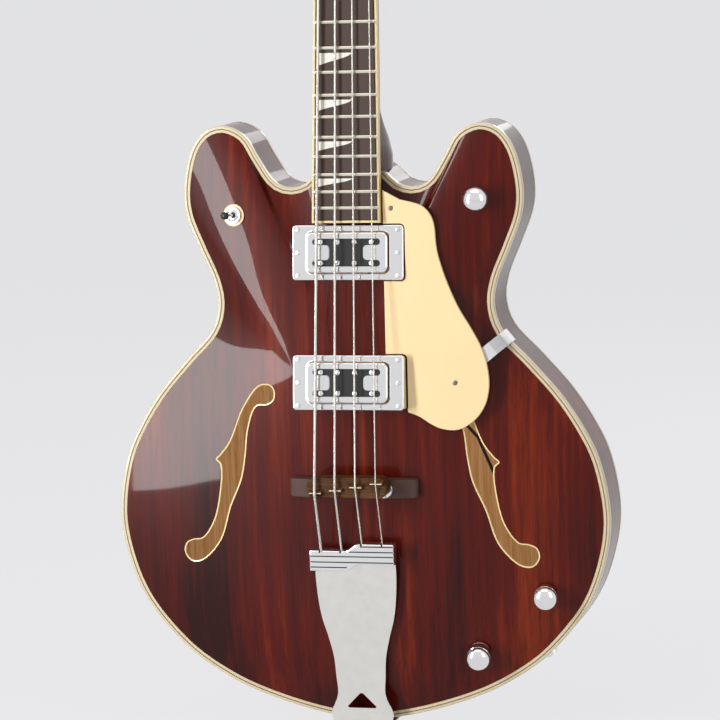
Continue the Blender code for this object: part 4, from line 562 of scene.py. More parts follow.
def round_ring(radii: Sequence[float], count: int, height: float) -> list[Triple]:
    """A ring of points about Z.

    Args:
        radii: Its radii, which repeat in turn.
        count: How many points it has.
        height: Their z.

    Returns:
        The points.
    """
    turns = [(radii[i % len(radii)], tau * i / count) for i in range(count)]
    return [(radius * cos(turn), radius * sin(turn), height) for radius, turn in turns]


def tangents(line: Sequence[Vector]) -> list[Vector]:
    """The directions of an open line at its points."""
    return [(b - a).normalized() for a, b in zip([line[0], *line[:-1]], [*line[1:], line[-1]])]


def placed(shape: Shape, place: Matrix) -> Shape:
    """The shape, moved to its place."""
    shape.transform(place)
    return shape


def bevelled(shape: Shape, edges: Sequence[bmesh.types.BMEdge], offset: float, steps: int) -> Shape:
    """The shape with some of its edges rounded.

    Args:
        shape: The shape.
        edges: The edges.
        offset: How far the rounding reaches.
        steps: How many faces it takes.

    Returns:
        The shape itself.
    """
    bmesh.ops.bevel(
        shape, geom=edges, offset=offset, offset_type="OFFSET", affect="EDGES", segments=steps,
        profile=0.5, material=-1, clamp_overlap=True,
    )
    return shape


def triangulated(shape: Shape) -> Shape:
    """The shape with every face of more than four corners split."""
    bmesh.ops.triangulate(shape, faces=[face for face in shape.faces if len(face.verts) > 4])
    return shape


def thickened(shape: Shape, faces: Sequence[bmesh.types.BMFace], depth: float) -> Shape:
    """The shape with some of its faces drawn out along Y.

    Args:
        shape: The shape.
        faces: The faces, which stay where they are.
        depth: How far off their copy is.

    Returns:
        The shape itself.
    """
    made = bmesh.ops.extrude_face_region(shape, geom=faces, use_keep_orig=True)["geom"]
    copied = [part for part in made if isinstance(part, bmesh.types.BMVert)]
    bmesh.ops.translate(shape, verts=copied, vec=(0, depth, 0))
    return shape


def loft(rings: Sequence[Sequence[Point]], first_cap: bool = True, last_cap: bool = True) -> Shape:
    """A skin over closed rings.

    Args:
        rings: The rings, in order, each with as many points as the others.
        first_cap: Whether the first ring is filled.
        last_cap: Whether the last ring is filled.

    Returns:
        The shape.
    """
    shape = bmesh.new()
    loops = [[shape.verts.new(point) for point in ring] for ring in rings]
    for first, second in zip(loops, loops[1:]):
        for i in range(len(first)):
            shape.faces.new((first[i - 1], first[i], second[i], second[i - 1]))
    for loop, capped in ((loops[0], first_cap), (loops[-1], last_cap)):
        if capped:
            shape.faces.new(loop)
    return shape


def prism(outline: Outline, front: float, back: float, edge: float = 0.0, steps: int = 3) -> Shape:
    """A flat piece with this (x, z) outline.

    Args:
        outline: The outline.
        front: The y of its front.
        back: The y of its back.
        edge: How far the front's edge is rounded.
        steps: How many faces the rounding takes.

    Returns:
        The shape.
    """
    shape = bmesh.new()
    verts = [shape.verts.new(point) for point in raised(outline, front)]
    for i, vert in enumerate(verts):
        shape.edges.new((verts[i - 1], vert))
    face = bmesh.ops.contextual_create(shape, geom=shape.edges)["faces"]
    thickened(shape, face, back - front)
    if not edge:
        return shape
    around = [e for e in shape.edges if all(abs(v.co.y - front) < MERGED / 10 for v in e.verts)]
    return bevelled(shape, around, edge, steps)


def closed_loft(rings: Sequence[Sequence[Point]]) -> Shape:
    """A skin over closed rings whose last ring joins the first one."""
    shape = loft([*rings, rings[0]], False, False)
    bmesh.ops.remove_doubles(shape, verts=shape.verts, dist=MERGED)
    return shape


def turned(profile: Sequence[Pair], sides: int = 40) -> Shape:
    """A shape turned about Z.

    Args:
        profile: Its outside, as (radius, height) points.
        sides: How many steps its round takes.

    Returns:
        The shape.
    """
    shape = bmesh.new()
    verts = [shape.verts.new((radius, 0, height)) for radius, height in profile]
    edges = [shape.edges.new(pair) for pair in zip(verts, verts[1:])]
    bmesh.ops.spin(
        shape, geom=[*verts, *edges], axis=(0, 0, 1), cent=(0, 0, 0), angle=tau, steps=sides,
        use_merge=True,
    )
    bmesh.ops.remove_doubles(shape, verts=shape.verts, dist=MERGED)
    open_rims = [edge for edge in shape.edges if edge.is_boundary]
    if open_rims:
        bmesh.ops.holes_fill(shape, edges=open_rims, sides=0)
    return shape


def rod(radius: float, start: Point, end: Point, sides: int = 24) -> Shape:
    """A round bar.

    Args:
        radius: Its radius.
        start: The middle of one end.
        end: The middle of the other end.
        sides: How many faces go round it.

    Returns:
        The shape.
    """
    along = Vector(end) - Vector(start)
    shape = turned([(0, 0), (radius, 0), (radius, along.length), (0, along.length)], sides)
    return placed(shape, at(*start) @ upright(along))


def block(low: Point, high: Point, edge: float = 0.0) -> Shape:
    """A box between two corners, with its edges rounded where an edge is given.

    Args:
        low: One corner.
        high: The corner across.
        edge: How far its edges are rounded.

    Returns:
        The shape.
    """
    low, high = Vector(low), Vector(high)
    shape = bmesh.new()
    bmesh.ops.create_cube(shape, size=1.0)
    placed(shape, at(*(low + high) / 2) @ Matrix.Diagonal((*(high - low), 1)))
    return bevelled(shape, shape.edges, edge, 3) if edge else shape


def sweep(points: Sequence[Point], radius: float, sides: int) -> Shape:
    """A wire through the points, which carries its length as the attribute "along".

    Args:
        points: The wire's middle line.
        radius: Its radius.
        sides: How many faces go round it.

    Returns:
        The shape.
    """
    line = [Vector(point) for point in points]
    runs = tangents(line)
    side = runs[0].orthogonal().normalized()
    turns = [tau * step / sides for step in range(sides)]
    rings, lengths, walked = [], [], 0.0
    for i, (place, run) in enumerate(zip(line, runs)):
        if i:
            side = runs[i - 1].rotation_difference(run) @ side
            walked += (place - line[i - 1]).length
        up = run.cross(side)
        rings.append([place + radius * (side * cos(turn) + up * sin(turn)) for turn in turns])
        lengths += [walked] * sides
    shape = loft(rings)
    layer = shape.verts.layers.float.new("along")
    for vert, length in zip(shape.verts, lengths):
        vert[layer] = length
    return shape


def as_object(shape: Shape, name: str) -> bpy.types.Object:
    """Makes an object of a shape, which is used up.

    Args:
        shape: The shape.
        name: The object's name.

    Returns:
        The object, in the scene.
    """
    mesh = bpy.data.meshes.new(name)
    shape.to_mesh(mesh)
    shape.free()
    obj = bpy.data.objects.new(name, mesh)
    bpy.context.scene.collection.objects.link(obj)
    return obj


def cut(shape: Shape, *cutters: Shape) -> Shape:
    """The shape less the cutters, which are all used up.

    Args:
        shape: The shape.
        cutters: What is cut out of it.

    Returns:
        What is left.
    """
    for each in (shape, *cutters):
        bmesh.ops.recalc_face_normals(each, faces=each.faces)
        triangulated(each)
    stock = as_object(shape, "stock")
    tools = [as_object(cutter, "tool") for cutter in cutters]
    for tool in tools:
        modifier = stock.modifiers.new("cut", "BOOLEAN")
        modifier.object, modifier.solver = tool, "MANIFOLD"
    result = bmesh.new()
    result.from_mesh(stock.evaluated_get(bpy.context.evaluated_depsgraph_get()).to_mesh())
    for used in (stock, *tools):
        bpy.data.meshes.remove(used.data)
    return result


@dataclass
class Piece:
    """One piece of the instrument while it is being made."""

    name: str
    finishes: tuple[Finish, ...]
    body: str = FIXED
    mesh: Shape = field(default_factory=bmesh.new)

    def add(
        self, shape: Shape, place: Matrix | None = None, slot: int = 0, keep_slots: bool = False,
    ) -> "Piece":
        """Joins a shape on to the piece.

        Args:
            shape: The shape, which is used up.
            place: Where it goes in the row frame.
            slot: The number of its finish.
            keep_slots: Whether the shape's own numbers of finishes stay.

        Returns:
            The piece itself.
        """
        bmesh.ops.recalc_face_normals(shape, faces=shape.faces)
        if not keep_slots:
            for face in shape.faces:
                face.material_index = slot
        if place:
            shape.transform(place)
        scratch = bpy.data.meshes.new("scratch")
        shape.to_mesh(scratch)
        shape.free()
        self.mesh.from_mesh(scratch)
        bpy.data.meshes.remove(scratch)
        return self

    def done(self, *nodes: str, smooth: float = 32.0) -> bpy.types.Object:
        """Hangs the piece on its body.

        Args:
            nodes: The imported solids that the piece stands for.
            smooth: The angle in degrees past which an edge stays sharp.

        Returns:
            The piece's object.
        """
        obj = as_object(self.mesh, self.name)
        for finish in self.finishes:
            obj.data.materials.append(finish.material())
        obj.data.shade_smooth()
        obj.data.set_sharp_from_angle(angle=radians(smooth))
        weighted = obj.modifiers.new("flat_faces_stay_flat", "WEIGHTED_NORMAL")
        weighted.keep_sharp = True
        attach(obj, self.body)
        if nodes:
            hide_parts(*nodes)
        LOG.info("%s: %d faces", self.name, len(obj.data.polygons))
        return obj


def dress(finish: Finish, *nodes: str) -> None:
    """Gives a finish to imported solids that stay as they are."""
    for node in nodes:
        for slot in frame["nodes"][node].material_slots:
            slot.material = finish.material()


# The body's plan, from the neck down the treble side, in the body's frame
HALF_OUTLINE = (
    (0.0, 0.033), (0.018, 0.033), (0.027, 0.0312), (0.033, 0.0255), (0.04, 0.019),
    (0.053, 0.0155), (0.066, 0.02), (0.08, 0.04), (0.0925, 0.0604), (0.1105, 0.0687),
    (0.1258, 0.065), (0.136, 0.0549), (0.1428, 0.0397), (0.1475, 0.012), (0.1456, -0.0082),
    (0.1351, -0.0358), (0.1236, -0.0633), (0.1203, -0.083), (0.1261, -0.1047), (0.1514, -0.1325),
    (0.1759, -0.1605), (0.1943, -0.1886), (0.2073, -0.2168), (0.2155, -0.267), (0.2085, -0.309),
    (0.1934, -0.344), (0.1606, -0.383), (0.133, -0.4035), (0.1, -0.4205), (0.042, -0.4385),
    (0.0, -0.444),
)
OUTLINE_POINTS = 260
PLATE_THICKNESS = 0.005
TOP_ARCH = 0.017
BACK_ARCH = 0.015
BINDING_WIDTH = 0.0055
BINDING_DEPTH = 0.005
RIM_THICKNESS = 0.0055
CROWN_MIDDLE = -0.225
CROWN_HALF = (0.022, 0.105)
ARCH_POWER = 2.2
ARCH_RINGS = 28
SMOOTHINGS = 60
F_HOLE = (
    (-0.0778, -0.1507), (-0.085, -0.153), (-0.099, -0.172), (-0.1112, -0.2004),
    (-0.12, -0.212), (-0.1241, -0.2162), (-0.12, -0.221), (-0.1232, -0.2545),
    (-0.129, -0.272), (-0.139, -0.285), (-0.147, -0.2865), (-0.154, -0.29),
    (-0.156, -0.2985), (-0.15, -0.306), (-0.1398, -0.305), (-0.1221, -0.2869),
    (-0.1118, -0.2574), (-0.101, -0.2324), (-0.097, -0.2122), (-0.0938, -0.1883),
    (-0.0862, -0.17), (-0.076, -0.1685), (-0.07, -0.164), (-0.0695, -0.156),
    (-0.073, -0.1515),
)


def body_outline() -> Outline:
    """The body's closed outline with evenly spaced points, clockwise from the neck.

    Returns:
        The outline.
    """
    other_half = [(-x, z) for x, z in reversed(HALF_OUTLINE[1:-1])]
    fine = through([*HALF_OUTLINE, *other_half], 24, closed=True)
    fine.append(fine[0])
    total = sum((b - a).length for a, b in zip(fine, fine[1:]))
    outline, walked, due = [], 0.0, 0.0
    for a, b in zip(fine, fine[1:]):
        step = (b - a).length
        while due < walked + step and len(outline) < OUTLINE_POINTS:
            place = a.lerp(b, (due - walked) / step)
            outline.append((place.x, place.y))
            due += total / OUTLINE_POINTS
        walked += step
    return outline


def inset(outline: Outline, distance: float) -> Outline:
    """A clockwise outline moved inwards by a distance.

    Args:
        outline: The outline.
        distance: How far it moves; less than 0 is outwards.

    Returns:
        The moved outline.
    """
    moved = []
    for i, (x, z) in enumerate(outline):
        before, after = outline[i - 1], outline[(i + 1) % len(outline)]
        along = Vector((after[0] - before[0], after[1] - before[1])).normalized()
        moved.append((x + along.y * distance, z - along.x * distance))
    return moved


OUTLINE = body_outline()
PLATE_OUTLINE = inset(OUTLINE, BINDING_WIDTH + GAP)


def arched_surface(height: float, level: float, side: int) -> Shape:
    """An arched plate's outside.

    Args:
        height: How far it rises from its edge to the long flat at its middle.
        level: The y of its edge.
        side: -1 for the top, which rises to the front, or 1 for the back.

    Returns:
        The surface, with its creases eased.
    """
    rings = []
    for step in range(ARCH_RINGS):
        share = 1 - step / (ARCH_RINGS - 1)
        y = level + side * height * (1 - share ** ARCH_POWER)
        ring = []
        for i, (x, z) in enumerate(PLATE_OUTLINE):
            angle = tau * i / OUTLINE_POINTS
            crown = (CROWN_HALF[0] * sin(angle), CROWN_MIDDLE + CROWN_HALF[1] * cos(angle))
            ring.append((crown[0] + (x - crown[0]) * share, y, crown[1] + (z - crown[1]) * share))
        rings.append(ring)
    surface = loft(rings, first_cap=False)
    crown = [face for face in surface.faces if len(face.verts) > 4]
    bmesh.ops.triangulate(surface, faces=crown, ngon_method="EAR_CLIP")
    inner = [vert for vert in surface.verts if not vert.is_boundary]
    for _ in range(SMOOTHINGS):
        bmesh.ops.smooth_vert(surface, verts=inner, factor=0.5, use_axis_y=True)
    rise = max(abs(vert.co.y - level) for vert in inner)
    bmesh.ops.scale(surface, verts=inner, vec=(1, height / rise, 1), space=at(0, -level, 0))
    return surface


def tree_of(surface: Shape) -> BVHTree:
    """The surface as a tree for rays, to measure heights on."""
    tree = BVHTree.FromBMesh(surface)
    surface.free()
    return tree


TOP = tree_of(arched_surface(TOP_ARCH, 0.0, -1))


def top_at(x: float, z: float) -> tuple[Vector, Vector]:
    """The place on the top's outside at this x and z, and its outward normal."""
    place, normal, _, _ = TOP.ray_cast(Vector((x, -1, z)), Vector((0, 1, 0)))
    return place, normal if normal.y < 0 else -normal


class Level(Enum):
    """Which of the body's two faces a piece belongs to, as the y of its edge and its outward side."""

    FRONT = (0.0, -1)
    BACK = (BODY_DEPTH, 1)


@dataclass
class BodyShell:
    """The hollow body: two arched plates, the rim between them and the binding round both."""

    hole_edge_width: float = 0.0009
    hole_edge_rise: float = 0.0002
    hole_edge_depth: float = 0.0022
    binding_soft: float = 0.0013
    rim_inset: float = 0.0002

    def f_hole(self, side: int) -> Outline:
        """The f-hole's outline on the bass side, -1, or the treble side, 1."""
        curve = through(F_HOLE, 5, closed=True)
        return [(-side * point.x, point.y) for point in curve][::side]

    def plate(self, name: str, arch: float, level: Level, cutters: Sequence[Shape]) -> None:
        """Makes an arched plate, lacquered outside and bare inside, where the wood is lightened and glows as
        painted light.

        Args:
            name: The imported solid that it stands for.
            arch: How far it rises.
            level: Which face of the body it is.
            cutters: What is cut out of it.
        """
        y, side = level.value
        shape = arched_surface(arch, y, side)
        bmesh.ops.recalc_face_normals(shape, faces=shape.faces)
        if sum(face.normal.y for face in shape.faces) * side < 0:
            bmesh.ops.reverse_faces(shape, faces=shape.faces)
        thickened(shape, shape.faces[:], -side * PLATE_THICKNESS)
        bmesh.ops.recalc_face_normals(shape, faces=shape.faces)
        for face in shape.faces:
            face.normal_update()
            face.material_index = 0 if face.normal.y * side > 0.05 else 1
        if cutters:
            shape = cut(shape, *cutters)
        Piece(name + "_plate", (WALNUT, INSIDE_WOOD_WITH_PAINTED_LIGHT)).add(shape, BODY, keep_slots=True).done(name)

    def binding(self, name: str, level: Level) -> None:
        """Makes the layered strip let into a corner of the body.

        Args:
            name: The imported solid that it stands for.
            level: Which face of the body it is.
        """
        y, side = level.value
        deep, soft = y - side * BINDING_DEPTH, self.binding_soft
        corner = [(soft * (1 - cos(a)), y - side * soft * (1 - sin(a))) for a in (0, pi / 6, pi / 3)]
        flat = [(across, y) for across in (soft, BINDING_WIDTH / 2, BINDING_WIDTH)]
        profile = [(0.0, deep), *corner, *flat, (BINDING_WIDTH, deep)]
        rings = [raised(inset(OUTLINE, inwards), height) for inwards, height in profile]
        shape = loft([*rings, rings[0]], False, False)
        layer = shape.verts.layers.float.new("across")
        shape.verts.ensure_lookup_table()
        for i, vert in enumerate(shape.verts):
            ring = i // OUTLINE_POINTS
            vert[layer] = profile[ring % len(profile)][0] / BINDING_WIDTH
        bmesh.ops.remove_doubles(shape, verts=shape.verts, dist=MERGED)
        Piece(name + "_strip", (BINDING,)).add(shape, BODY).done(name)

    def rim(self) -> None:
        """Makes the bent side between the bindings."""
        front, back = BINDING_DEPTH + GAP, BODY_DEPTH - BINDING_DEPTH - GAP
        outer, inner = inset(OUTLINE, self.rim_inset), inset(OUTLINE, RIM_THICKNESS)
        shape = closed_loft([raised(loop, y) for loop, y in (
            (outer, front), (outer, (front + back) / 2), (outer, back), (inner, back), (inner, front),
        )])
        Piece("body_side", (WALNUT, INSIDE_WOOD_WITH_PAINTED_LIGHT)).add(shape, BODY).done("body_rim")

    def hole_edges(self) -> None:
        """Makes the pale line round the inside of each f-hole."""
        lap, width, depth = -self.hole_edge_rise, self.hole_edge_width, self.hole_edge_depth
        piece = Piece("f_hole_edges", (BOARD_EDGE,))
        for side in (-1, 1):
            piece.add(closed_loft([
                [(x, top_at(x, z)[0].y + down, z) for x, z in inset(self.f_hole(side), inwards)]
                for inwards, down in ((lap, lap), (width, 0.0), (width, depth), (lap, depth))
            ]), BODY)
        piece.done()

    def build(self, pickups: Sequence["Pickup"]) -> None:
        """Makes the whole shell, with the cavities of the pickups in its top.

        Args:
            pickups: The pickups.
        """
        holes = [prism(self.f_hole(side), -0.05, 0.03) for side in (-1, 1)]
        self.plate("body_top", TOP_ARCH, Level.FRONT, [*holes, *(pickup.cavity() for pickup in pickups)])
        self.plate("body_back", BACK_ARCH, Level.BACK, [])
        self.rim()
        self.binding("front_binding", Level.FRONT)
        self.binding("back_binding", Level.BACK)
        self.hole_edges()


def spread(index: int, width: float) -> float:
    """The x of a string where the four spread over this width."""
    return width * (index / 3 - 0.5)


@dataclass
class StringSet:
    """The four wound strings, from their ball ends to their turns round the tuning posts."""

    names: tuple[str, ...] = ("e", "a", "d", "g")
    diameters: tuple[float, ...] = (0.00267, 0.00216, 0.00165, 0.00114)
    at_nut: float = 0.0342
    at_saddle: float = 0.0528
    at_anchor: float = 0.0536
    compensations: tuple[float, ...] = (0.0117, 0.0093, 0.0064, 0.0032)
    over_board_at_nut: float = 0.0016
    over_board_at_saddle: float = 0.006
    anchor_tops: Pair = (-0.289, -0.283)
    ball_down: float = 0.009
    ball_y: float = -0.033
    ball_radius: float = 0.0028
    posts: tuple[Pair, ...] = ((-0.027, 0.055), (-0.0215, 0.123), (0.0215, 0.123), (0.027, 0.055))
    post_radius: float = 0.005
    turns: int = 2
    turn_points: int = 40
    turn_gap: float = 0.0008
    first_turn_height: float = 0.008
    tail: float = 0.004

    def nut_point(self, index: int) -> Vector:
        """The string's centre at the nut, in the neck's frame."""
        height = self.over_board_at_nut + self.diameters[index] / 2
        return Vector((spread(index, self.at_nut), -height, 0))

    def saddle_point(self, index: int) -> Vector:
        """The string's centre over the saddle, in the neck's frame."""
        distance = SCALE_LENGTH + self.compensations[index]
        return Vector((spread(index, self.at_saddle), -self.over_board_at_saddle, -distance))

    def ball_point(self, index: int) -> Vector:
        """The centre of the string's ball end, in the body's frame."""
        z = self.anchor_tops[index > 1] - self.ball_down
        return Vector((spread(index, self.at_anchor), self.ball_y, z))

    def wound_turns(self, index: int, start: Vector) -> list[Vector]:
        """The points round the tuning post, in the head's frame, and the straight end.

        Args:
            index: The string's number.
            start: Where it comes from.

        Returns:
            The points.
        """
        side = -1 if index < 2 else 1
        x, z = self.posts[index]
        diameter = self.diameters[index]
        radius = self.post_radius + GAP + diameter / 2
        across, up = -side * (x - start.x), z - start.z
        heading = atan2(up, across) - asin(radius / hypot(across, up))
        first = heading - radians(90)
        points = []
        for step in range(self.turns * self.turn_points + 1):
            angle = first + tau * step / self.turn_points
            height = self.first_turn_height + (diameter + self.turn_gap) * step / self.turn_points
            points.append(Vector((x - side * radius * cos(angle), -height, z + radius * sin(angle))))
        run = Vector((side * sin(first), 0, cos(first))) * self.tail
        return [*points, points[-1] + run]

    def line(self, index: int) -> list[Vector]:
        """The string's whole middle line, in the neck's frame.

        Args:
            index: The string's number.

        Returns:
            Its points, from the ball end.
        """
        nut = self.nut_point(index)
        behind = nut + Vector((0, 0, NUT_THICKNESS - 0.0005))
        start = between(behind, NECK, HEAD)
        turns = self.wound_turns(index, start)
        runs = [start.lerp(turns[0], share) for share in (0.5, 0.8, 0.9)]
        ball = between(self.ball_point(index), BODY, NECK)
        return [ball, self.saddle_point(index), nut, behind, *(
            between(point, HEAD, NECK) for point in [*runs, *turns]
        )]

    def build(self) -> None:
        """Makes each string with its ball end."""
        for index, name in enumerate(self.names):
            points = self.line(index)
            start, saddle, nut = points[:3]
            eased = [start, saddle.lerp(start, 0.03), saddle, saddle.lerp(nut, 0.004), *points[2:]]
            piece = Piece(f"wound_string_{name}", (WOUND, BRASS))
            piece.add(sweep(eased, self.diameters[index] / 2, 16), NECK)
            r, thin = self.ball_radius, self.ball_radius * 0.8
            ball = turned([(0, -r), (thin, -r), (r, -r * 0.7), (r, r * 0.7), (thin, r), (0, r)], 20)
            piece.add(ball, NECK @ at(*start) @ Matrix.Rotation(pi / 2, 4, "Y"), 1)
            piece.done(f"string_{name}", smooth=50)


def framed(outer: Outline, inner: Outline, foot: Sequence[Point], depth: float, edge: float) -> Shape:
    """A frame between two clockwise outlines, with rounded front edges.

    Args:
        outer: Its outside.
        inner: Its hole, with as many points.
        foot: The outside's last points at the back.
        depth: How deep the hole's wall goes.
        edge: How far the front's edges are rounded.

    Returns:
        The shape, with its front at y 0.
    """
    soft = [(edge * (1 - cos(a)), edge * (1 - sin(a))) for a in (0, 0.52, 1.05, pi / 2)]
    rings = [list(foot)]
    rings += [raised(inset(outer, inwards), y) for inwards, y in soft]
    rings += [raised(inset(inner, -inwards), y) for inwards, y in reversed(soft)]
    return closed_loft([*rings, raised(inner, depth)])


def slotted_screw(radius: float, height: float, place: Matrix, turn: float = 0.3) -> Shape:
    """A domed screw head with a slot, standing on the place's z 0.

    Args:
        radius: Its radius.
        height: How far it stands out.
        place: Its frame.
        turn: The slot's angle.

    Returns:
        The shape.
    """
    head = turned([
        (0, -height), (radius, -height), (radius, height * 0.55), (radius * 0.86, height * 0.85),
        (radius * 0.55, height), (0, height),
    ], 24)
    half_long, half_wide = radius * 1.2, radius * 0.14
    slot = block((-half_long, -half_wide, height * 0.35), (half_long, half_wide, height * 2))
    return placed(cut(head, placed(slot, Matrix.Rotation(turn, 4, "Z"))), place)


OUT_OF_FRONT = Matrix.Rotation(pi / 2, 4, "X")
OUT_OF_BACK = Matrix.Rotation(pi, 4, "X")


@dataclass
class Pickup:
    """A pickup: a mounting ring, a cover with a window, the coils, and the screws."""

    name: str
    centre: float
    front: float
    pitch: float = radians(6.64)
    ring_half: Triple = (0.0482, 0.0232, 0.003)
    cover_half: Triple = (0.0352, 0.017, 0.005)
    cover_front: float = -0.0055
    cover_depth: float = 0.018
    cavity_half: Triple = (0.044, 0.019, 0.003)
    window_half: Pair = (0.0294, 0.012)
    tab_reach: float = 0.0146
    tab_half: float = 0.006
    pole_spread: float = 0.044
    pole_row: float = 0.0088
    pole_radius: float = 0.0024
    pole_stand: float = 0.0012
    screw_x: float = 0.0435
    screw_z: float = 0.0194

    @property
    def place(self) -> Matrix:
        """Its frame in the body's, with its ring's front at y 0."""
        return at(0, self.front, self.centre) @ Matrix.Rotation(-self.pitch, 4, "X")

    def cavity(self) -> Shape:
        """The shape to cut from the top under its ring."""
        return placed(prism(rounded_rectangle(*self.cavity_half, 3), -0.03, 0.03), self.place)

    def foot(self, outline: Outline) -> list[Vector]:
        """The ring's lowest points, just under the arched top.

        Args:
            outline: The ring's outline.

        Returns:
            One point for each of the outline's.
        """
        points = []
        for x, z in outline:
            over = self.place @ Vector((x, 0, z))
            deep = (top_at(over.x, over.z)[0].y + 0.0006 - over.y) / cos(self.pitch)
            points.append(Vector((x, max(deep, 0.0012), z)))
        return points

    def window(self) -> Outline:
        """The cover's opening: a block with a rounded slot at each corner.

        Returns:
            Its outline.
        """
        half_x, half_z = self.window_half
        radius = (half_z - self.tab_half) / 2
        middle = (half_z + self.tab_half) / 2
        quarter = [(0.0, half_z)]
        for step in range(9):
            angle = pi / 2 - pi * step / 8
            quarter.append((half_x - radius + radius * cos(angle), middle + radius * sin(angle)))
        inner = half_x - self.tab_reach
        for step in range(5):
            angle = pi / 2 * step / 4
            x, z = inner + self.tab_half / 2 * (1 - sin(angle)), self.tab_half / 2 * (1 + cos(angle))
            quarter.append((x, z))
        loop = quarter + [(x, -z) for x, z in quarter[::-1]]
        return loop + [(-x, -z) for x, z in quarter[1:]] + [(-x, z) for x, z in quarter[:0:-1]]

    def ring(self) -> None:
        """Makes the chrome mounting ring, with its six screws."""
        seat = BODY @ self.place
        outer = rounded_rectangle(*self.ring_half)
        half_x, half_z, corner = self.cover_half
        inner = rounded_rectangle(half_x + 0.0006, half_z + 0.0006, corner)
        piece = Piece(f"{self.name}_ring_plate", (CHROME, STEEL))
        piece.add(framed(outer, inner, self.foot(outer), 0.01, 0.0011), seat)
        for x in (-self.screw_x, self.screw_x):
            for z in (-self.screw_z, 0.0, self.screw_z):
                spot = seat @ at(x, 0, z) @ OUT_OF_FRONT
                piece.add(slotted_screw(0.0021, 0.001, spot, 0.5 + 40 * z + 9 * x), slot=1)
        piece.done(f"{self.name}_pickup_ring", f"{self.name}_pickup_base")

    def cover(self) -> None:
        """Makes the chrome cover round its window, and the black coils with their pole screws."""
        seat = BODY @ self.place
        front = self.cover_front
        outline = rounded_rectangle(*self.cover_half)
        shape = prism(outline, front, front + self.cover_depth, 0.0014, 4)
        shape = cut(shape, prism(self.window(), front - 0.01, front + 0.0022))
        Piece(f"{self.name}_cover_shell", (CHROME,)).add(shape, seat).done(f"{self.name}_pickup_cover")
        coils = Piece(f"{self.name}_coil_former", (BLACK, CHROME))
        coils.add(prism(inset(self.window(), 0.0003), front + 0.0011, front + 0.003, 0.0003, 2), seat)
        for string in range(4):
            for row in (-1, 1):
                x, turn = spread(string, self.pole_spread), 0.35 + 0.9 * string + 0.5 * row
                spot = seat @ at(x, front + 0.0011, row * self.pole_row) @ OUT_OF_FRONT
                coils.add(slotted_screw(self.pole_radius, self.pole_stand + 0.0011, spot, turn), slot=1)
        coils.done(f"{self.name}_pickup_coils")

    def build(self) -> None:
        """Makes the whole pickup."""
        self.ring()
        self.cover()


# Fingerboard and neck
NUT_HALF_WIDTH = 0.0225
BOARD_END_HALF_WIDTH = 0.0294
BOARD_LENGTH = LAST_FRET + 0.0125
BOARD_BINDING_WIDTH = 0.002
FRET_WIDTH = 0.0027
FRET_HEIGHT = 0.001


def board_half_width(distance: float) -> float:
    """Half of the neck's width at this distance from the nut."""
    return NUT_HALF_WIDTH + (BOARD_END_HALF_WIDTH - NUT_HALF_WIDTH) * distance / BOARD_LENGTH


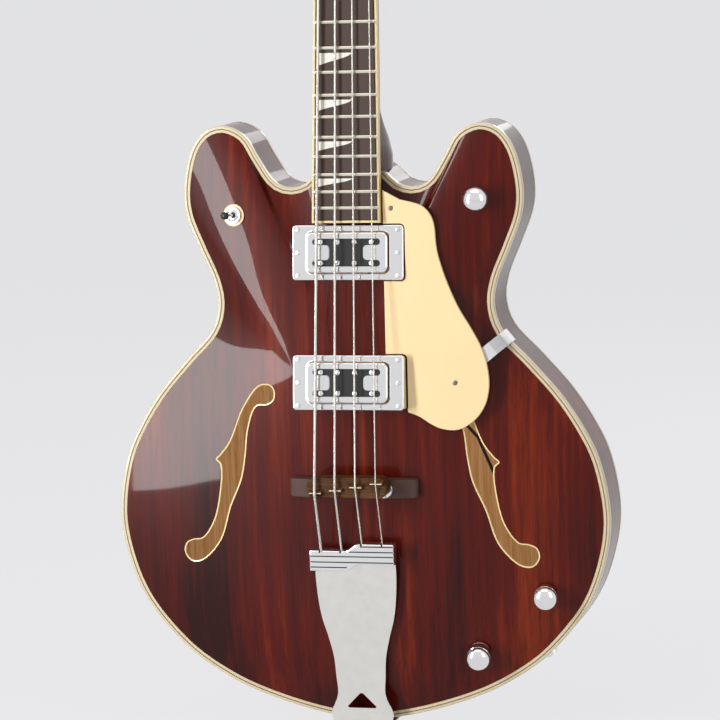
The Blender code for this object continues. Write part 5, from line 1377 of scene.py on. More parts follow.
@dataclass
class Fingerboard:
    """The board with its frets, inlays, side dots and pale binding."""

    inlay_frets: tuple[int, ...] = (3, 5, 7, 9, 12, 15, 17, 19, 21)
    fret_sides: int = 6
    inlay_reach: float = 0.62

    def taper(self, inwards: float, end: float) -> Outline:
        """The board's outline less a margin, down to this distance, clockwise from the bass side."""
        top, bottom = board_half_width(0) - inwards, board_half_width(end) - inwards
        return [(-top, 0.0), (top, 0.0), (bottom, -end), (-bottom, -end)]

    def board(self) -> None:
        """Makes the wood."""
        end = BOARD_LENGTH - BOARD_BINDING_WIDTH - GAP
        outline = self.taper(BOARD_BINDING_WIDTH + GAP / 3, end)
        Piece("board_wood", (BOARD_WOOD,)).add(prism(outline, 0.0, BOARD_THICKNESS), NECK).done("fingerboard")

    def frets(self) -> None:
        """Makes the crowned fret wires with their bevelled ends."""
        piece = Piece("fret_wires", (FRET_METAL,))
        for number in range(1, FRET_COUNT + 1):
            distance = fret_distance(number)
            half = board_half_width(distance) - 0.0006
            rings = []
            for x, share in ((-half, 0.25), (-half + 0.0012, 1), (half - 0.0012, 1), (half, 0.25)):
                ring = [(x, 0.0004, -distance + FRET_WIDTH / 2)]
                for step in range(self.fret_sides + 1):
                    angle = pi * step / self.fret_sides
                    y, z = -FRET_HEIGHT * share * sin(angle) ** 0.7, FRET_WIDTH / 2 * cos(angle) - distance
                    ring.append((x, y, z))
                ring.append((x, 0.0004, -distance - FRET_WIDTH / 2))
                rings.append(ring)
            piece.add(loft(rings), NECK)
        piece.done(smooth=40)

    def inlays(self) -> None:
        """Makes the pearl wedges: straight along the top, and curving up to a point past the middle."""
        piece = Piece("pearl_inlays", (PEARL,))
        for number in self.inlay_frets:
            upper, lower = fret_distance(number - 1), fret_distance(number)
            room = lower - upper - FRET_WIDTH
            top = upper + FRET_WIDTH / 2 + room * 0.16
            half = board_half_width(top) - BOARD_BINDING_WIDTH - 0.0012
            width, height = 2 * half * self.inlay_reach, min(room * 0.62, 0.015)
            curve = [
                (-half + width * share, -top - height * (1 - share) ** 0.62 * (1 - 0.12 * sin(pi * share)))
                for share in (1.0, 0.97, 0.9, 0.8, 0.68, 0.54, 0.4, 0.26, 0.12, 0.0)
            ]
            outline = [(-half, -top), *curve]
            piece.add(prism(outline, -0.00012, 0.0006), NECK)
        piece.done()

    def binding(self) -> None:
        """Makes the pale strips along both edges and the end."""
        end = BOARD_LENGTH
        piece = Piece("board_edge_strips", (BOARD_EDGE, BLACK))
        outer, inner = self.taper(0.0, end), self.taper(BOARD_BINDING_WIDTH, end - BOARD_BINDING_WIDTH)
        outline = [inner[0], outer[0], outer[3], outer[2], outer[1], inner[1], inner[2], inner[3]]
        piece.add(prism(outline, 0.0, BOARD_THICKNESS, 0.0004, 2), NECK)
        for number in self.inlay_frets:
            middle = (fret_distance(number - 1) + fret_distance(number)) / 2
            x = board_half_width(middle)
            for shift in ((-0.004, 0.004) if number == 12 else (0.0,)):
                y, z = BOARD_THICKNESS * 0.45, -middle + shift
                piece.add(rod(0.0011, (-x + 0.001, y, z), (-x - 0.00008, y, z), 16), NECK, 1)
        piece.done("fingerboard_binding")

    def build(self) -> None:
        """Makes the whole board."""
        self.board()
        self.frets()
        self.inlays()
        self.binding()


def board_plane(z: float, depth: float) -> float:
    """The body frame's y of the plane this deep under the board's face, at this z."""
    face = between((0, depth, -LAST_FRET), NECK, BODY)
    return face.y + (z - face.z) * tan(NECK_PITCH)


@dataclass
class Neck:
    """The neck with its heel and headstock, the nut, and the cover over the truss rod's end."""

    depth_at_nut: float = 0.0205
    depth_at_heel: float = 0.0222
    heel_start: float = 0.08
    heel_cap: float = 0.05
    heel_flare: float = 0.0045
    tongue_depth: float = 0.006
    head_thickness: float = 0.015
    veneer: float = 0.0009
    post_hole: float = 0.0068
    head_half_outline: tuple[Pair, ...] = (
        (0.0245, 0.003), (0.0268, 0.012), (0.0345, 0.026), (0.0405, 0.045), (0.043, 0.075),
        (0.0415, 0.105), (0.04, 0.135), (0.0385, 0.165), (0.032, 0.178), (0.018, 0.1835),
        (0.0, 0.186),
    )
    cover_outline: tuple[Pair, ...] = (
        (-0.0105, 0.006), (-0.01, 0.02), (-0.0085, 0.036), (-0.005, 0.043), (0.0, 0.046),
        (0.005, 0.043), (0.0085, 0.036), (0.01, 0.02), (0.0105, 0.006),
    )

    def section(
        self, half: float, front: float, back: float, place: Callable[[float, float], Point], fullness: float,
        over: float = 1.0, flare: float = 0.0,
    ) -> list[Vector]:
        """A section of the neck, straight across its front and rounded to the back.

        Args:
            half: Half its width.
            front: The y of its straight side.
            back: The y of its deepest point.
            place: Gives the place of each x and y.
            fullness: How square it is; 2 is round.
            over: How far past the back the round is carried before it is cut flat.
            flare: How much wider it is behind its front edges.

        Returns:
            Its points.
        """
        steps = 28
        points = []
        for step in range(steps + 1):
            angle = pi * step / steps
            across = abs(cos(angle)) ** (2 / fullness) * copysign(1, cos(angle))
            deep = min(1.0, over * max(sin(angle), 0.0) ** (2 / fullness))
            width = half + flare * min(1.0, 3 * deep)
            points.append(Vector(place(width * across, front + (back - front) * deep)))
        return points

    def shaft(self, distance: float) -> list[Vector]:
        """A section of the playing length, in the neck's frame."""
        depth = self.depth_at_nut + (self.depth_at_heel - self.depth_at_nut) * distance / BOARD_LENGTH
        half = board_half_width(distance)
        return self.section(half, HEAD_FACE, depth, lambda x, y: (x, y, -distance), 2.3)

    def heel(self, z: float, back: float, flare: float) -> list[Vector]:
        """A level section of the heel or the tongue, given in the body's frame.

        Args:
            z: The section's z.
            back: The y of its deepest point.
            flare: How much wider it is behind its front edges.

        Returns:
            Its points, in the neck's frame.
        """
        distance = -between((0, 0, z), BODY, NECK).z
        return self.section(
            board_half_width(min(distance, BOARD_LENGTH)), board_plane(z, HEAD_FACE), back,
            lambda x, y: between((x, y, z), BODY, NECK), 2.6, 1.05, flare,
        )

    def head(self, z: float, half: float, fullness: float) -> list[Vector]:
        """A section where the neck runs out into the headstock."""
        back = self.head_thickness - 0.0002
        return self.section(half, self.veneer, back, lambda x, y: between((x, y, z), HEAD, NECK), fullness)

    def sections(self) -> list[list[Vector]]:
        """The neck's sections, eased into each other as far as the heel.

        Returns:
            The sections, from the headstock down.
        """
        heel_start = -between((0, 0, self.heel_start), BODY, NECK).z
        knots = [
            self.head(0.034, 0.0225, 5.0), self.head(0.018, 0.0215, 3.2),
            self.head(0.006, NUT_HALF_WIDTH, 2.5), *(self.shaft(distance) for distance in (
                0.001 - NUT_THICKNESS, 0.012, heel_start / 3, heel_start * 2 / 3, heel_start - 0.03,
                heel_start,
            )),
        ]
        heel_back = board_plane(self.heel_start, self.depth_at_heel)
        for down, deep in ((0.16, 0.12), (0.38, 0.36), (0.62, 0.66), (0.83, 0.9), (1.0, 1.0)):
            z = self.heel_start + (self.heel_cap - self.heel_start) * down
            back = heel_back + (BODY_DEPTH - heel_back) * deep
            knots.append(self.heel(z, back, self.heel_flare * down / 2))
        columns = [through(column, 4) for column in zip(*knots)]
        eased = [list(ring) for ring in zip(*columns)]
        edge = HALF_OUTLINE[0][1]
        board_end = between((0, 0, -BOARD_LENGTH), NECK, BODY).z
        return [
            *eased, self.heel((self.heel_cap + edge) / 2, BODY_DEPTH, self.heel_flare),
            self.heel(edge - 0.003, BODY_DEPTH, self.heel_flare),
            self.heel(edge - 0.005, self.tongue_depth, 0.0), self.heel(board_end, self.tongue_depth, 0.0),
        ]

    def wood(self, posts: Sequence[Pair]) -> None:
        """Makes the neck's wood, and the headstock with its dark face and a hole for each post.

        Args:
            posts: The x and z of each tuning post.
        """
        right = [(point.x, point.y) for point in through(self.head_half_outline, 5)]
        outline = [(-x, z) for x, z in right] + right[-2::-1]
        layers = []
        for front, edge, steps in ((self.head_thickness, 0.0022, 3), (0.0, 0.0005, 2)):
            holes = [
                rod(self.post_hole, (x, -0.01, z), (x, self.head_thickness + 0.01, z), 28) for x, z in posts
            ]
            layers.append(cut(prism(outline, front, self.veneer, edge, steps), *holes))
        piece = Piece("neck_wood", (NECK_WOOD, HEAD_FACE_WOOD))
        piece.add(loft(self.sections()), NECK).add(layers[0], HEAD).add(layers[1], HEAD, 1)
        piece.done("neck", smooth=38)

    def nut(self, strings: StringSet) -> None:
        """Makes the slotted bone nut.

        Args:
            strings: The strings.
        """
        front = strings.nut_point(0).y
        half_width = NUT_HALF_WIDTH - GAP
        shape = block((-half_width, front, GAP), (half_width, BOARD_THICKNESS, NUT_THICKNESS), 0.0007)
        slots = []
        for index, diameter in enumerate(strings.diameters):
            x, y, _ = strings.nut_point(index)
            half = diameter / 2 + GAP
            slots.append(block((x - half, front - 0.005, -0.01), (x + half, y + half, 0.02)))
        Piece("bone_nut", (BONE,)).add(cut(shape, *slots), NECK).done("nut")

    def rod_cover(self) -> None:
        """Makes the black plate over the truss rod's end, with its three screws."""
        piece = Piece("rod_cover_plate", (BLACK, CHROME))
        piece.add(prism(self.cover_outline, -0.0023, -GAP, 0.0006), HEAD)
        for x, z in ((-0.0075, 0.01), (0.0075, 0.01), (0.0, 0.041)):
            seat = HEAD @ at(x, -0.0023, z) @ OUT_OF_FRONT
            piece.add(slotted_screw(0.0016, 0.0008, seat, 60 * x + 9 * z), slot=1)
        piece.done("truss_rod_cover")

    def build(self, strings: StringSet) -> None:
        """Makes the whole neck."""
        self.wood(strings.posts)
        self.nut(strings)
        self.rod_cover()
        dress(STEEL, "truss_rod")


@dataclass
class Bridge:
    """The wooden base that fits the arch, two knurled thumbwheels and the saddle on them."""

    z: float = -0.2375
    base_half: Pair = (0.0555, 0.008)
    front: float = -0.0285
    end_front: float = -0.024
    shoulder: float = 0.038
    stud_x: float = 0.0285
    stud_radius: float = 0.002
    stud_rise: float = 0.008
    thread_pitch: float = 0.0008
    wheel_radius: float = 0.0075
    wheel_thickness: float = 0.004
    wheel_teeth: int = 96
    saddle_z: float = -0.2335
    saddle_half: Pair = (0.035, 0.00885)
    saddle_depth: float = 0.015
    crest: Pair = (0.003, 0.012)

    def base(self) -> None:
        """Makes the base, with its foot fitted to the top, and the threaded studs."""
        half_x, half_z = self.base_half
        rings = []
        for step in range(33):
            x = half_x * sin(pi / 2 * (step / 16 - 1))
            slope = min(max((abs(x) - self.shoulder) / (half_x - self.shoulder), 0.0), 1.0)
            end = 0.0016 * max(0.0, (abs(x) - half_x + 0.003) / 0.003) ** 2
            top = self.front + (self.end_front - self.front) * slope ** 1.3 + end
            wide = half_z - end * 0.6
            foot = [top_at(x, self.z + side * wide)[0].y + 0.0002 for side in (-1, 1)]
            soft = 0.0011
            rings.append([
                (x, foot[0], self.z - wide), (x, top + soft, self.z - wide),
                (x, top + soft * 0.3, self.z - wide + soft * 0.3), (x, top, self.z - wide + soft),
                (x, top, self.z + wide - soft), (x, top + soft * 0.3, self.z + wide - soft * 0.3),
                (x, top + soft, self.z + wide), (x, foot[1], self.z + wide),
            ])
        piece = Piece("bridge_foot", (BRIDGE_WOOD, CHROME)).add(loft(rings), BODY)
        back = self.front - 2 * GAP - self.wheel_thickness
        for side in (-1, 1):
            piece.add(self.threaded(side * self.stud_x, back - self.stud_rise + 0.0004), BODY, 1)
        piece.done("bridge_base")

    def threaded(self, x: float, end: float) -> Shape:
        """A stud with its thread, from the base to this y.

        Args:
            x: The stud's x.
            end: The y of its end.

        Returns:
            The shape.
        """
        length = self.front + 0.002 - end
        profile = [(0.0, 0.0)]
        for step in range(34):
            radius = self.stud_radius * (1.0 if step % 2 else 0.86)
            profile.append((radius, min(self.thread_pitch / 2 * step, length)))
        shape = turned([*profile, (0.0, length)], 20)
        return placed(shape, at(x, self.front + 0.002, self.z) @ OUT_OF_FRONT)

    def wheel(self, side: int, word: str) -> None:
        """Makes a thumbwheel with its knurled edge.

        Args:
            side: -1 for the bass side, or 1 for the treble side.
            word: That side's name.
        """
        edge, dent, top = 0.0006, 0.00035, self.wheel_thickness
        bore, inner = (self.stud_radius + 0.0003,), (self.wheel_radius - edge,)
        knurl = (self.wheel_radius, self.wheel_radius - dent)
        rings = [round_ring(radii, self.wheel_teeth, height) for radii, height in (
            (bore, 0.0), (inner, 0.0), (knurl, edge), (knurl, top - edge), (inner, top), (bore, top),
        )]
        seat = BODY @ at(side * self.stud_x, self.front - GAP, self.z) @ OUT_OF_FRONT
        piece = Piece(f"{word}_wheel_disc", (CHROME,), f"{word}_wheel").add(closed_loft(rings), seat)
        piece.done(f"{word}_thumbwheel", smooth=20)

    def saddle(self, strings: StringSet) -> None:
        """Makes the saddle, with a raised crest under each string and its pale contact line.

        Args:
            strings: The strings.
        """
        half_x, half_z = self.saddle_half
        back = self.front - 2 * GAP - self.wheel_thickness
        front = back - self.saddle_depth
        outline = [(x, z + self.saddle_z) for x, z in rounded_rectangle(half_x, half_z, half_z - 0.001, 12)]
        sockets = [
            rod(self.stud_radius + 0.0004, (side * self.stud_x, back + 0.005, self.z),
                (side * self.stud_x, back - self.stud_rise - GAP, self.z))
            for side in (-1, 1)
        ]
        piece = Piece("saddle_wood", (SADDLE_WOOD, BONE))
        piece.add(cut(prism(outline, front, back, 0.0016, 4), *sockets), BODY)
        width, length = self.crest
        for index, diameter in enumerate(strings.diameters):
            x, y, z = between(strings.saddle_point(index), NECK, BODY)
            tip, half = y + diameter / 2 + 0.0001, length / 2
            for slot, wide, low, cap, reach in (
                (0, width, front + 0.001, tip + 0.0005, half), (1, 0.0009, front, tip, half * 0.92),
            ):
                profile = (
                    (-wide, low), (-wide * 0.35, cap), (0, cap - 0.00005), (wide * 0.35, cap), (wide, low),
                )
                piece.add(loft([
                    [(x + end * reach, low + (high - low) * share, z + off) for off, high in profile]
                    for end, share in ((-1, 0.6), (-0.9, 1), (0.9, 1), (1, 0.6))
                ]), BODY, slot)
        piece.done("bridge_saddle")

    def build(self, strings: StringSet) -> None:
        """Makes the whole bridge."""
        self.base()
        self.wheel(-1, "bass")
        self.wheel(1, "treble")
        self.saddle(strings)


@dataclass
class Tailpiece:
    """The polished plate that wraps over the tail, and the stepped anchor for the ball ends."""

    sheet: float = 0.0022
    edge: float = 0.0005
    widths: tuple[Pair, ...] = (
        (-0.29, 0.034), (-0.308, 0.0355), (-0.335, 0.034), (-0.351, 0.0315), (-0.367, 0.027),
        (-0.385, 0.023), (-0.402, 0.0218), (-0.418, 0.021), (-0.427, 0.0245), (-0.435, 0.0272),
        (-0.4404, 0.0262),
    )
    foot_y: float = -0.015
    bend: float = 0.005
    strap_half: float = 0.025
    strap_end: float = 0.038
    hole: Triple = (-0.4156, -0.43, 0.014)
    anchor_half: float = 0.0368
    anchor_height: float = 0.018
    anchor_step: float = 0.006
    anchor_front: float = -0.0385
    anchor_back: float = -0.028
    groove_half: float = 0.0005
    grooves: tuple[Triple, ...] = (
        (0.1, 0.008, 0.05), (0.29, -0.002, 0.05), (0.46, -0.05, 0.05), (0.665, -0.05, 0.05),
        (0.85, -0.05, -0.004),
    )

    def strap_z(self) -> float:
        """The middle of the sheet where it lies against the rim."""
        return HALF_OUTLINE[-1][1] - GAP - self.sheet / 2

    def path(self) -> list[Vector]:
        """The sheet's middle from its top end over the tail's edge, as (y, z, half width).

        Returns:
            The path's points.
        """
        top_y = self.anchor_back + GAP + self.sheet / 2
        top_z, (foot_z, foot_half) = self.widths[0][0], self.widths[-1]
        path = []
        for point in through(self.widths, 4):
            share = (point.x - top_z) / (foot_z - top_z)
            path.append(Vector((top_y + (self.foot_y - top_y) * share, point.x, point.y)))
        strap = self.strap_z()
        centre_y, centre_z = self.foot_y + self.bend, strap + self.bend
        for step in range(1, 9):
            angle = pi / 2 * step / 8
            y, z = centre_y - self.bend * cos(angle), centre_z - self.bend * sin(angle)
            path.append(Vector((y, z, foot_half + (self.strap_half - foot_half) * step / 8)))
        end = [Vector((y, strap, self.strap_half)) for y in (0.01, 0.024, 0.032)]
        tail = [
            Vector((self.strap_end - 0.004 * (1 - share), strap, self.strap_half - 0.006 * share ** 2))
            for share in (0.3, 0.7, 1)
        ]
        return [*path, *end, *tail]

    def plate(self) -> None:
        """Makes the sheet with rounded edges and its three-cornered hole."""
        path = self.path()
        rings = []
        for point, run in zip(path, tangents([point.xy for point in path])):
            out = Vector((0, run.y, -run.x)) * (self.sheet / 2)
            centre, corner = Vector((0, point.x, point.y)), Vector((point.z, 0, 0))
            eased = corner - Vector((self.edge, 0, 0))
            rings.append([
                centre - eased + out, centre + eased + out, centre + corner + out * 0.5,
                centre + corner - out * 0.5, centre + eased - out, centre - eased - out,
                centre - corner - out * 0.5, centre - corner + out * 0.5,
            ])
        apex, base, half = self.hole
        corners = [Vector(corner) for corner in ((0.0, apex), (half, base), (-half, base))]
        opening = [
            tuple(here.lerp(other, 0.09)) for i, here in enumerate(corners)
            for other in (corners[i - 1], corners[(i + 1) % 3])
        ]
        window = prism(opening, -0.04, 0.0)
        y, z = BODY_DEPTH / 2, self.strap_z()
        bore = rod(0.0023, (0, y, z - 0.01), (0, y, z + 0.01))
        piece = Piece("tail_sheet", (POLISHED,)).add(cut(loft(rings), window, bore), BODY)
        piece.done("tailpiece_plate", smooth=40)

    def anchor(self, strings: StringSet) -> None:
        """Makes the stepped bar with its ridges, its string slots and the pockets for the balls, with black
        blocks sunk in its grooves as painted shade.

        Args:
            strings: The strings.
        """
        bass, treble = strings.anchor_tops
        across = [-self.anchor_half, *(self.anchor_step * (i / 8 - 1) for i in range(17)), self.anchor_half]
        curve = [
            (x, bass + (treble - bass) * (1 - cos(pi * min(max((x / self.anchor_step + 1) / 2, 0), 1))) / 2)
            for x in across
        ]
        outline = curve + [(x, z - self.anchor_height) for x, z in reversed(curve)]
        shape = prism(outline, self.anchor_front, self.anchor_back, 0.0016, 4)
        cutters, groove_shade_blocks = [], []
        top, bottom = max(bass, treble), min(bass, treble) - self.anchor_height
        front, inside = self.anchor_front, self.anchor_half - 0.0008
        for share, start, end in self.grooves:
            z = top + (bottom - top) * share
            low, high = z - self.groove_half, z + self.groove_half
            cutters.append(block((start, front - 0.002, low), (end, front + 0.001, high)))
            start, end = max(start, -inside), min(end, inside)
            # A black block sunk in the groove's bottom: painted shade that darkens the groove
            groove_shade_blocks.append(block((start, front + 0.0004, low), (end, front + 0.0012, high)))
        for index, diameter in enumerate(strings.diameters):
            x, y, z = strings.ball_point(index)
            half, pocket = diameter / 2 + GAP, strings.ball_radius + GAP
            edge = bass if index < 2 else treble
            far = (x + half, self.anchor_back + 0.01, z + 0.03)
            cutters.append(block((x - half, y - pocket, z), far))
            cutters.append(block((x - half, front - 0.02, edge - 0.0022), far))
            cutters.append(rod(pocket, (x, y - pocket, z), (x, self.anchor_back + 0.01, z), 28))
        piece = Piece("anchor_bar", (CHROME, BLACK)).add(cut(shape, *cutters), BODY)
        # The black groove blocks are painted shade
        for fill in groove_shade_blocks:
            piece.add(fill, BODY, 1)
        piece.done("string_anchor", smooth=40)

    def build(self, strings: StringSet) -> None:
        """Makes the whole tailpiece."""
        self.plate()
        self.anchor(strings)


@dataclass
class Pickguard:
    """The raised guard beside the strings, with its screws and spacers, and its side bracket."""

    thickness: float = 0.0025
    top_y: float = -0.015
    pitch: float = radians(2.0)
    left_x: float = 0.0305
    top_z: float = 0.0141
    curve: tuple[Pair, ...] = (
        (0.045, 0.0064), (0.0633, 0.0014), (0.0702, -0.0048), (0.0742, -0.0139), (0.0764, -0.0361),
        (0.0829, -0.0585), (0.0935, -0.0836), (0.1043, -0.1017), (0.1124, -0.1171), (0.1176, -0.1338),
        (0.1189, -0.1506), (0.1154, -0.1661), (0.1065, -0.1788), (0.0921, -0.1874), (0.0779, -0.1868),
        (0.0694, -0.1833), (0.0581, -0.1763), (0.049, -0.173),
    )
    screws: tuple[Pair, ...] = ((0.0376, -0.0009), (0.0901, -0.1477))
    cup: tuple[Pair, ...] = (
        (0.0021, -0.0002), (0.0033, -0.0002), (0.0034, 0.0001), (0.0029, 0.0003), (0.0021, 0.0001),
        (0.0021, -0.0002),
    )
    spacer_radius: float = 0.003
    clearance: float = 0.001
    bracket_place: Pair = (0.132, -0.112)
    bracket_length: float = 0.04
    bracket_half: float = 0.006
    bracket_sheet: float = 0.0016
    clip_depth: float = 0.01

    def plate(self, pickups: Sequence[Pickup]) -> None:
        """Makes the guard with its notches for the pickups and its two screws.

        Args:
            pickups: The pickups.
        """
        seat = at(0, self.top_y, self.top_z) @ Matrix.Rotation(-self.pitch, 4, "X")
        inner_z = (self.curve[-1][1] + pickups[1].centre) / 2
        curve = [(point.x, point.y) for point in through(self.curve, 4)]
        loop = [(self.left_x, self.top_z), *curve, (curve[-1][0] - 0.003, inner_z), (self.left_x, inner_z)]
        shape = prism([(x, z - self.top_z) for x, z in loop], 0.0, self.thickness, 0.0007, 3)
        half_x, half_z, corner = pickups[0].ring_half
        margin = self.clearance
        notch = rounded_rectangle(half_x + margin, half_z + margin, corner + margin)
        notches = [placed(prism(notch, -0.05, 0.05), seat.inverted() @ pickup.place) for pickup in pickups]
        shape = triangulated(cut(shape, *notches))
        piece = Piece("guard_plate", (CREAM, DARK_STEEL)).add(shape, BODY @ seat)
        for x, z in self.screws:
            head = BODY @ seat @ at(x, 0, z - self.top_z) @ OUT_OF_FRONT
            piece.add(turned(self.cup, 32), head)
            piece.add(slotted_screw(0.0022, 0.0006, head, 30 * x), slot=1)
        for x, z in self.screws:
            under = seat @ Vector((x, self.thickness - 0.0005, z - self.top_z))
            piece.add(rod(self.spacer_radius, under, (x, top_at(x, z)[0].y - GAP, z)), BODY)
        piece.done("pickguard")

    def bracket(self) -> None:
        """Makes the strap under the guard's edge, with its clip over the rim."""
        gaps = [(Vector(point) - Vector(self.bracket_place)).length for point in OUTLINE]
        nearest = gaps.index(min(gaps))
        edge = Vector(OUTLINE[nearest])
        run = (Vector(OUTLINE[nearest + 1]) - Vector(OUTLINE[nearest - 1])).normalized()
        out = Vector((-run.y, run.x))
        half = self.bracket_sheet / 2
        under = self.top_y + (edge.y - self.bracket_length * out.y - self.top_z) * tan(self.pitch)
        under += self.thickness + 0.0008 + half
        beside = 0.0004 + half
        far = -self.bracket_length
        knots = [
            (far, under), (0.42 * far, under), (0.3 * far, under), (0.1 * far, -beside),
            (0.03 * far, -beside), (beside * 0.4, -beside), (beside * 0.9, -beside * 0.6), (beside, 0.0),
            (beside, self.clip_depth),
        ]
        rings = []
        for (reach, y), along in zip(knots, tangents([Vector(knot) for knot in knots])):
            skin = Vector((-along.y, along.x)) * half
            ring = []
            for side, sign in ((-1, -1), (1, -1), (1, 1), (-1, 1)):
                flat = edge + out * (reach + sign * skin.x) + run * side * self.bracket_half
                ring.append((flat.x, y + sign * skin.y, flat.y))
            rings.append(ring)
        shape = loft(rings)
        bevelled(shape, [e for e in shape.edges if e.calc_face_angle(0) > 1.2], 0.0003, 2)
        Piece("guard_bracket_strap", (STEEL,)).add(shape, BODY).done("pickguard_bracket")

    def build(self, pickups: Sequence[Pickup]) -> None:
        """Makes the whole guard."""
        self.plate(pickups)
        self.bracket()


def surface_seat(x: float, z: float) -> Matrix:
    """A frame on the top whose Z points straight out of the arch, in the row frame."""
    centre, normal = top_at(x, z)
    return BODY @ at(*centre) @ upright(normal)


def joint_seat(name: str) -> Matrix:
    """A frame at a joint's place whose Z lies along its axis, in the row frame."""
    joint = next(joint for joint in frame["joints"] if joint["name"] == name)
    return at(*joint["pos_m"]) @ upright(joint["axis"])


@dataclass
class Controls:
    """Three dome knobs, the pickup selector and the output jack."""

    knobs: tuple[str, ...] = ("master_volume", "neck_volume", "tone")
    knob_radius: float = 0.01
    knob_height: float = 0.022
    knob_stand: float = 0.004
    shaft_radius: float = 0.003
    nut_radius: float = 0.007
    nut_height: float = 0.0022
    switch_place: Pair = (-0.101, -0.0066)
    switch_lean: float = radians(12.0)
    washer: Pair = (0.0095, 0.0015)
    bush_radius: float = 0.0058
    bush_top: float = 0.0062
    bore_radius: float = 0.0036
    jack_place: Pair = (0.15663, -0.38655)
    jack_out: Triple = (0.65005, 0.0, -0.75989)
    jack_stand: float = 0.0035

    def knob(self, name: str) -> None:
        """Makes a domed knob with a fine line round its skirt, and the nut and washer under it.

        Args:
            name: The knob's body.
        """
        seat = joint_seat(f"{name}_turn")
        r, top, stand, shaft = self.knob_radius, self.knob_height, self.knob_stand, self.shaft_radius
        dome = [(r * sin(a) ** 0.9, top - 0.62 * r * (1 - cos(a))) for a in (pi * i / 28 for i in range(15))]
        skirt = [
            (r, top - 0.0078), (r - 0.00025, top - 0.008), (r - 0.00025, top - 0.0084), (r, top - 0.0086),
            (r, stand + 0.0008), (r - 0.0004, stand + 0.0002), (r - 0.001, stand), (shaft, stand + 0.0004),
            (shaft, -0.004), (0, -0.004),
        ]
        piece = Piece(f"{name}_dome", (CHROME,), name).add(turned([*dome, *skirt], 72), seat)
        piece.done(f"{name}_knob", smooth=40)
        wide, high = self.nut_radius, self.nut_height
        nut = turned([
            (shaft + 0.0004, high), (wide - 0.0008, high), (wide, high - 0.0007), (wide, 0.0007),
            (0.0086, 0.0006), (0.0088, 0.0002), (0.0088, -0.0004), (shaft + 0.0004, -0.0004),
        ], 48)
        nut_piece = Piece(f"{name}_nut", (STEEL,)).add(nut, seat)
        can = turned([
            (0, -0.0056), (0.0112, -0.0056), (0.012, -0.0064), (0.012, -0.016), (0.0112, -0.0166),
            (0, -0.0166),
        ], 40)
        nut_piece.add(can, seat).done(f"{name}_potentiometer")

    def selector(self) -> None:
        """Makes the selector: a pale washer, the ringed housing with its nut, and the tipped lever."""
        seat = surface_seat(*self.switch_place)
        radius, thick = self.washer
        bush, top, bore = self.bush_radius, self.bush_top, self.bore_radius
        disc = turned([
            (bush + GAP, GAP), (radius - 0.0002, GAP), (radius, 0.0006), (radius, thick - 0.0003),
            (radius - 0.0006, thick + GAP), (bush + 0.0012, thick + GAP), (bush + GAP, thick),
        ], 64)
        Piece("selector_washer", (CREAM,)).add(disc, seat).done("switch_washer")
        profile = [(0.0, -0.008), (bore, -0.008), (bore, top - 0.0004), (bore + 0.0004, top)]
        for step in range(5):
            height = top - 0.0004 - 0.0007 * step
            profile += [(bush - 0.0002, height), (bush, height - 0.0002), (bush, height - 0.0004),
                        (bush - 0.0004, height - 0.0006)]
        profile += [(bush, 0.0021), (bush, -0.0055), (0.011, -0.0056), (0.011, -0.0216), (0, -0.0216)]
        housing = Piece("selector_housing", (CHROME,)).add(turned(profile, 56), seat)
        nut = [
            (bush - 0.0003, 0.0046), (0.0066, 0.0046), (0.0072, 0.0042), (0.0072, 0.0024),
            (0.0066, 0.0021), (bush - 0.0003, 0.0021),
        ]
        housing.add(turned(nut, 56), seat).done("switch_housing")
        axis = seat.inverted().to_3x3() @ Vector((0, 0, 1))
        axis.z = 0
        pivot = seat @ Matrix.Rotation(self.switch_lean, 4, -axis.normalized())
        lever = [
            (0, -0.0055), (0.0016, -0.0055), (0.0016, -0.003), (0.0029, -0.0014), (0.0032, 0.0),
            (0.0029, 0.0014), (0.0019, 0.0028), (0.0014, 0.0042), (0.0014, 0.0092), (0, 0.0092),
        ]
        tip = [
            (0, 0.0092), (0.0014, 0.0092), (0.0022, 0.0096), (0.0027, 0.0106), (0.0033, 0.0128),
            (0.0034, 0.014), (0.0031, 0.0154), (0.0024, 0.0164), (0.0013, 0.0169), (0, 0.017),
        ]
        piece = Piece("selector_lever", (CHROME, BLACK), "selector").add(turned(lever, 32), pivot)
        piece.add(turned(tip, 32), pivot, 1).done("switch_lever", smooth=45)

    def jack(self) -> None:
        """Makes the output jack with its nut and the dark bore for the plug."""
        x, z = self.jack_place
        seat = BODY @ at(x, BODY_DEPTH / 2, z) @ upright(self.jack_out)
        stand = self.jack_stand
        shape = turned([
            (0.0033, -0.026), (0.0033, stand - 0.0004), (0.0037, stand), (0.0044, stand),
            (0.0046, stand - 0.0009), (0.0058, stand - 0.0009), (0.0065, stand - 0.0016), (0.0065, 0.0006),
            (0.0086, 0.0005), (0.0088, 0.0001), (0.0088, -0.0005), (0.0047, -0.0005), (0.0047, -0.0067),
            (0.008, -0.0067), (0.008, -0.0262), (0, -0.0262), (0, -0.026),
        ], 48)
        piece = Piece("jack_socket", (CHROME, BLACK)).add(shape, seat)
        piece.add(rod(0.0032, (0, 0, -0.0255), (0, 0, -0.003), 32), seat, 1).done("output_jack")

    def build(self) -> None:
        """Makes every control."""
        for name in self.knobs:
            self.knob(name)
        self.selector()
        self.jack()


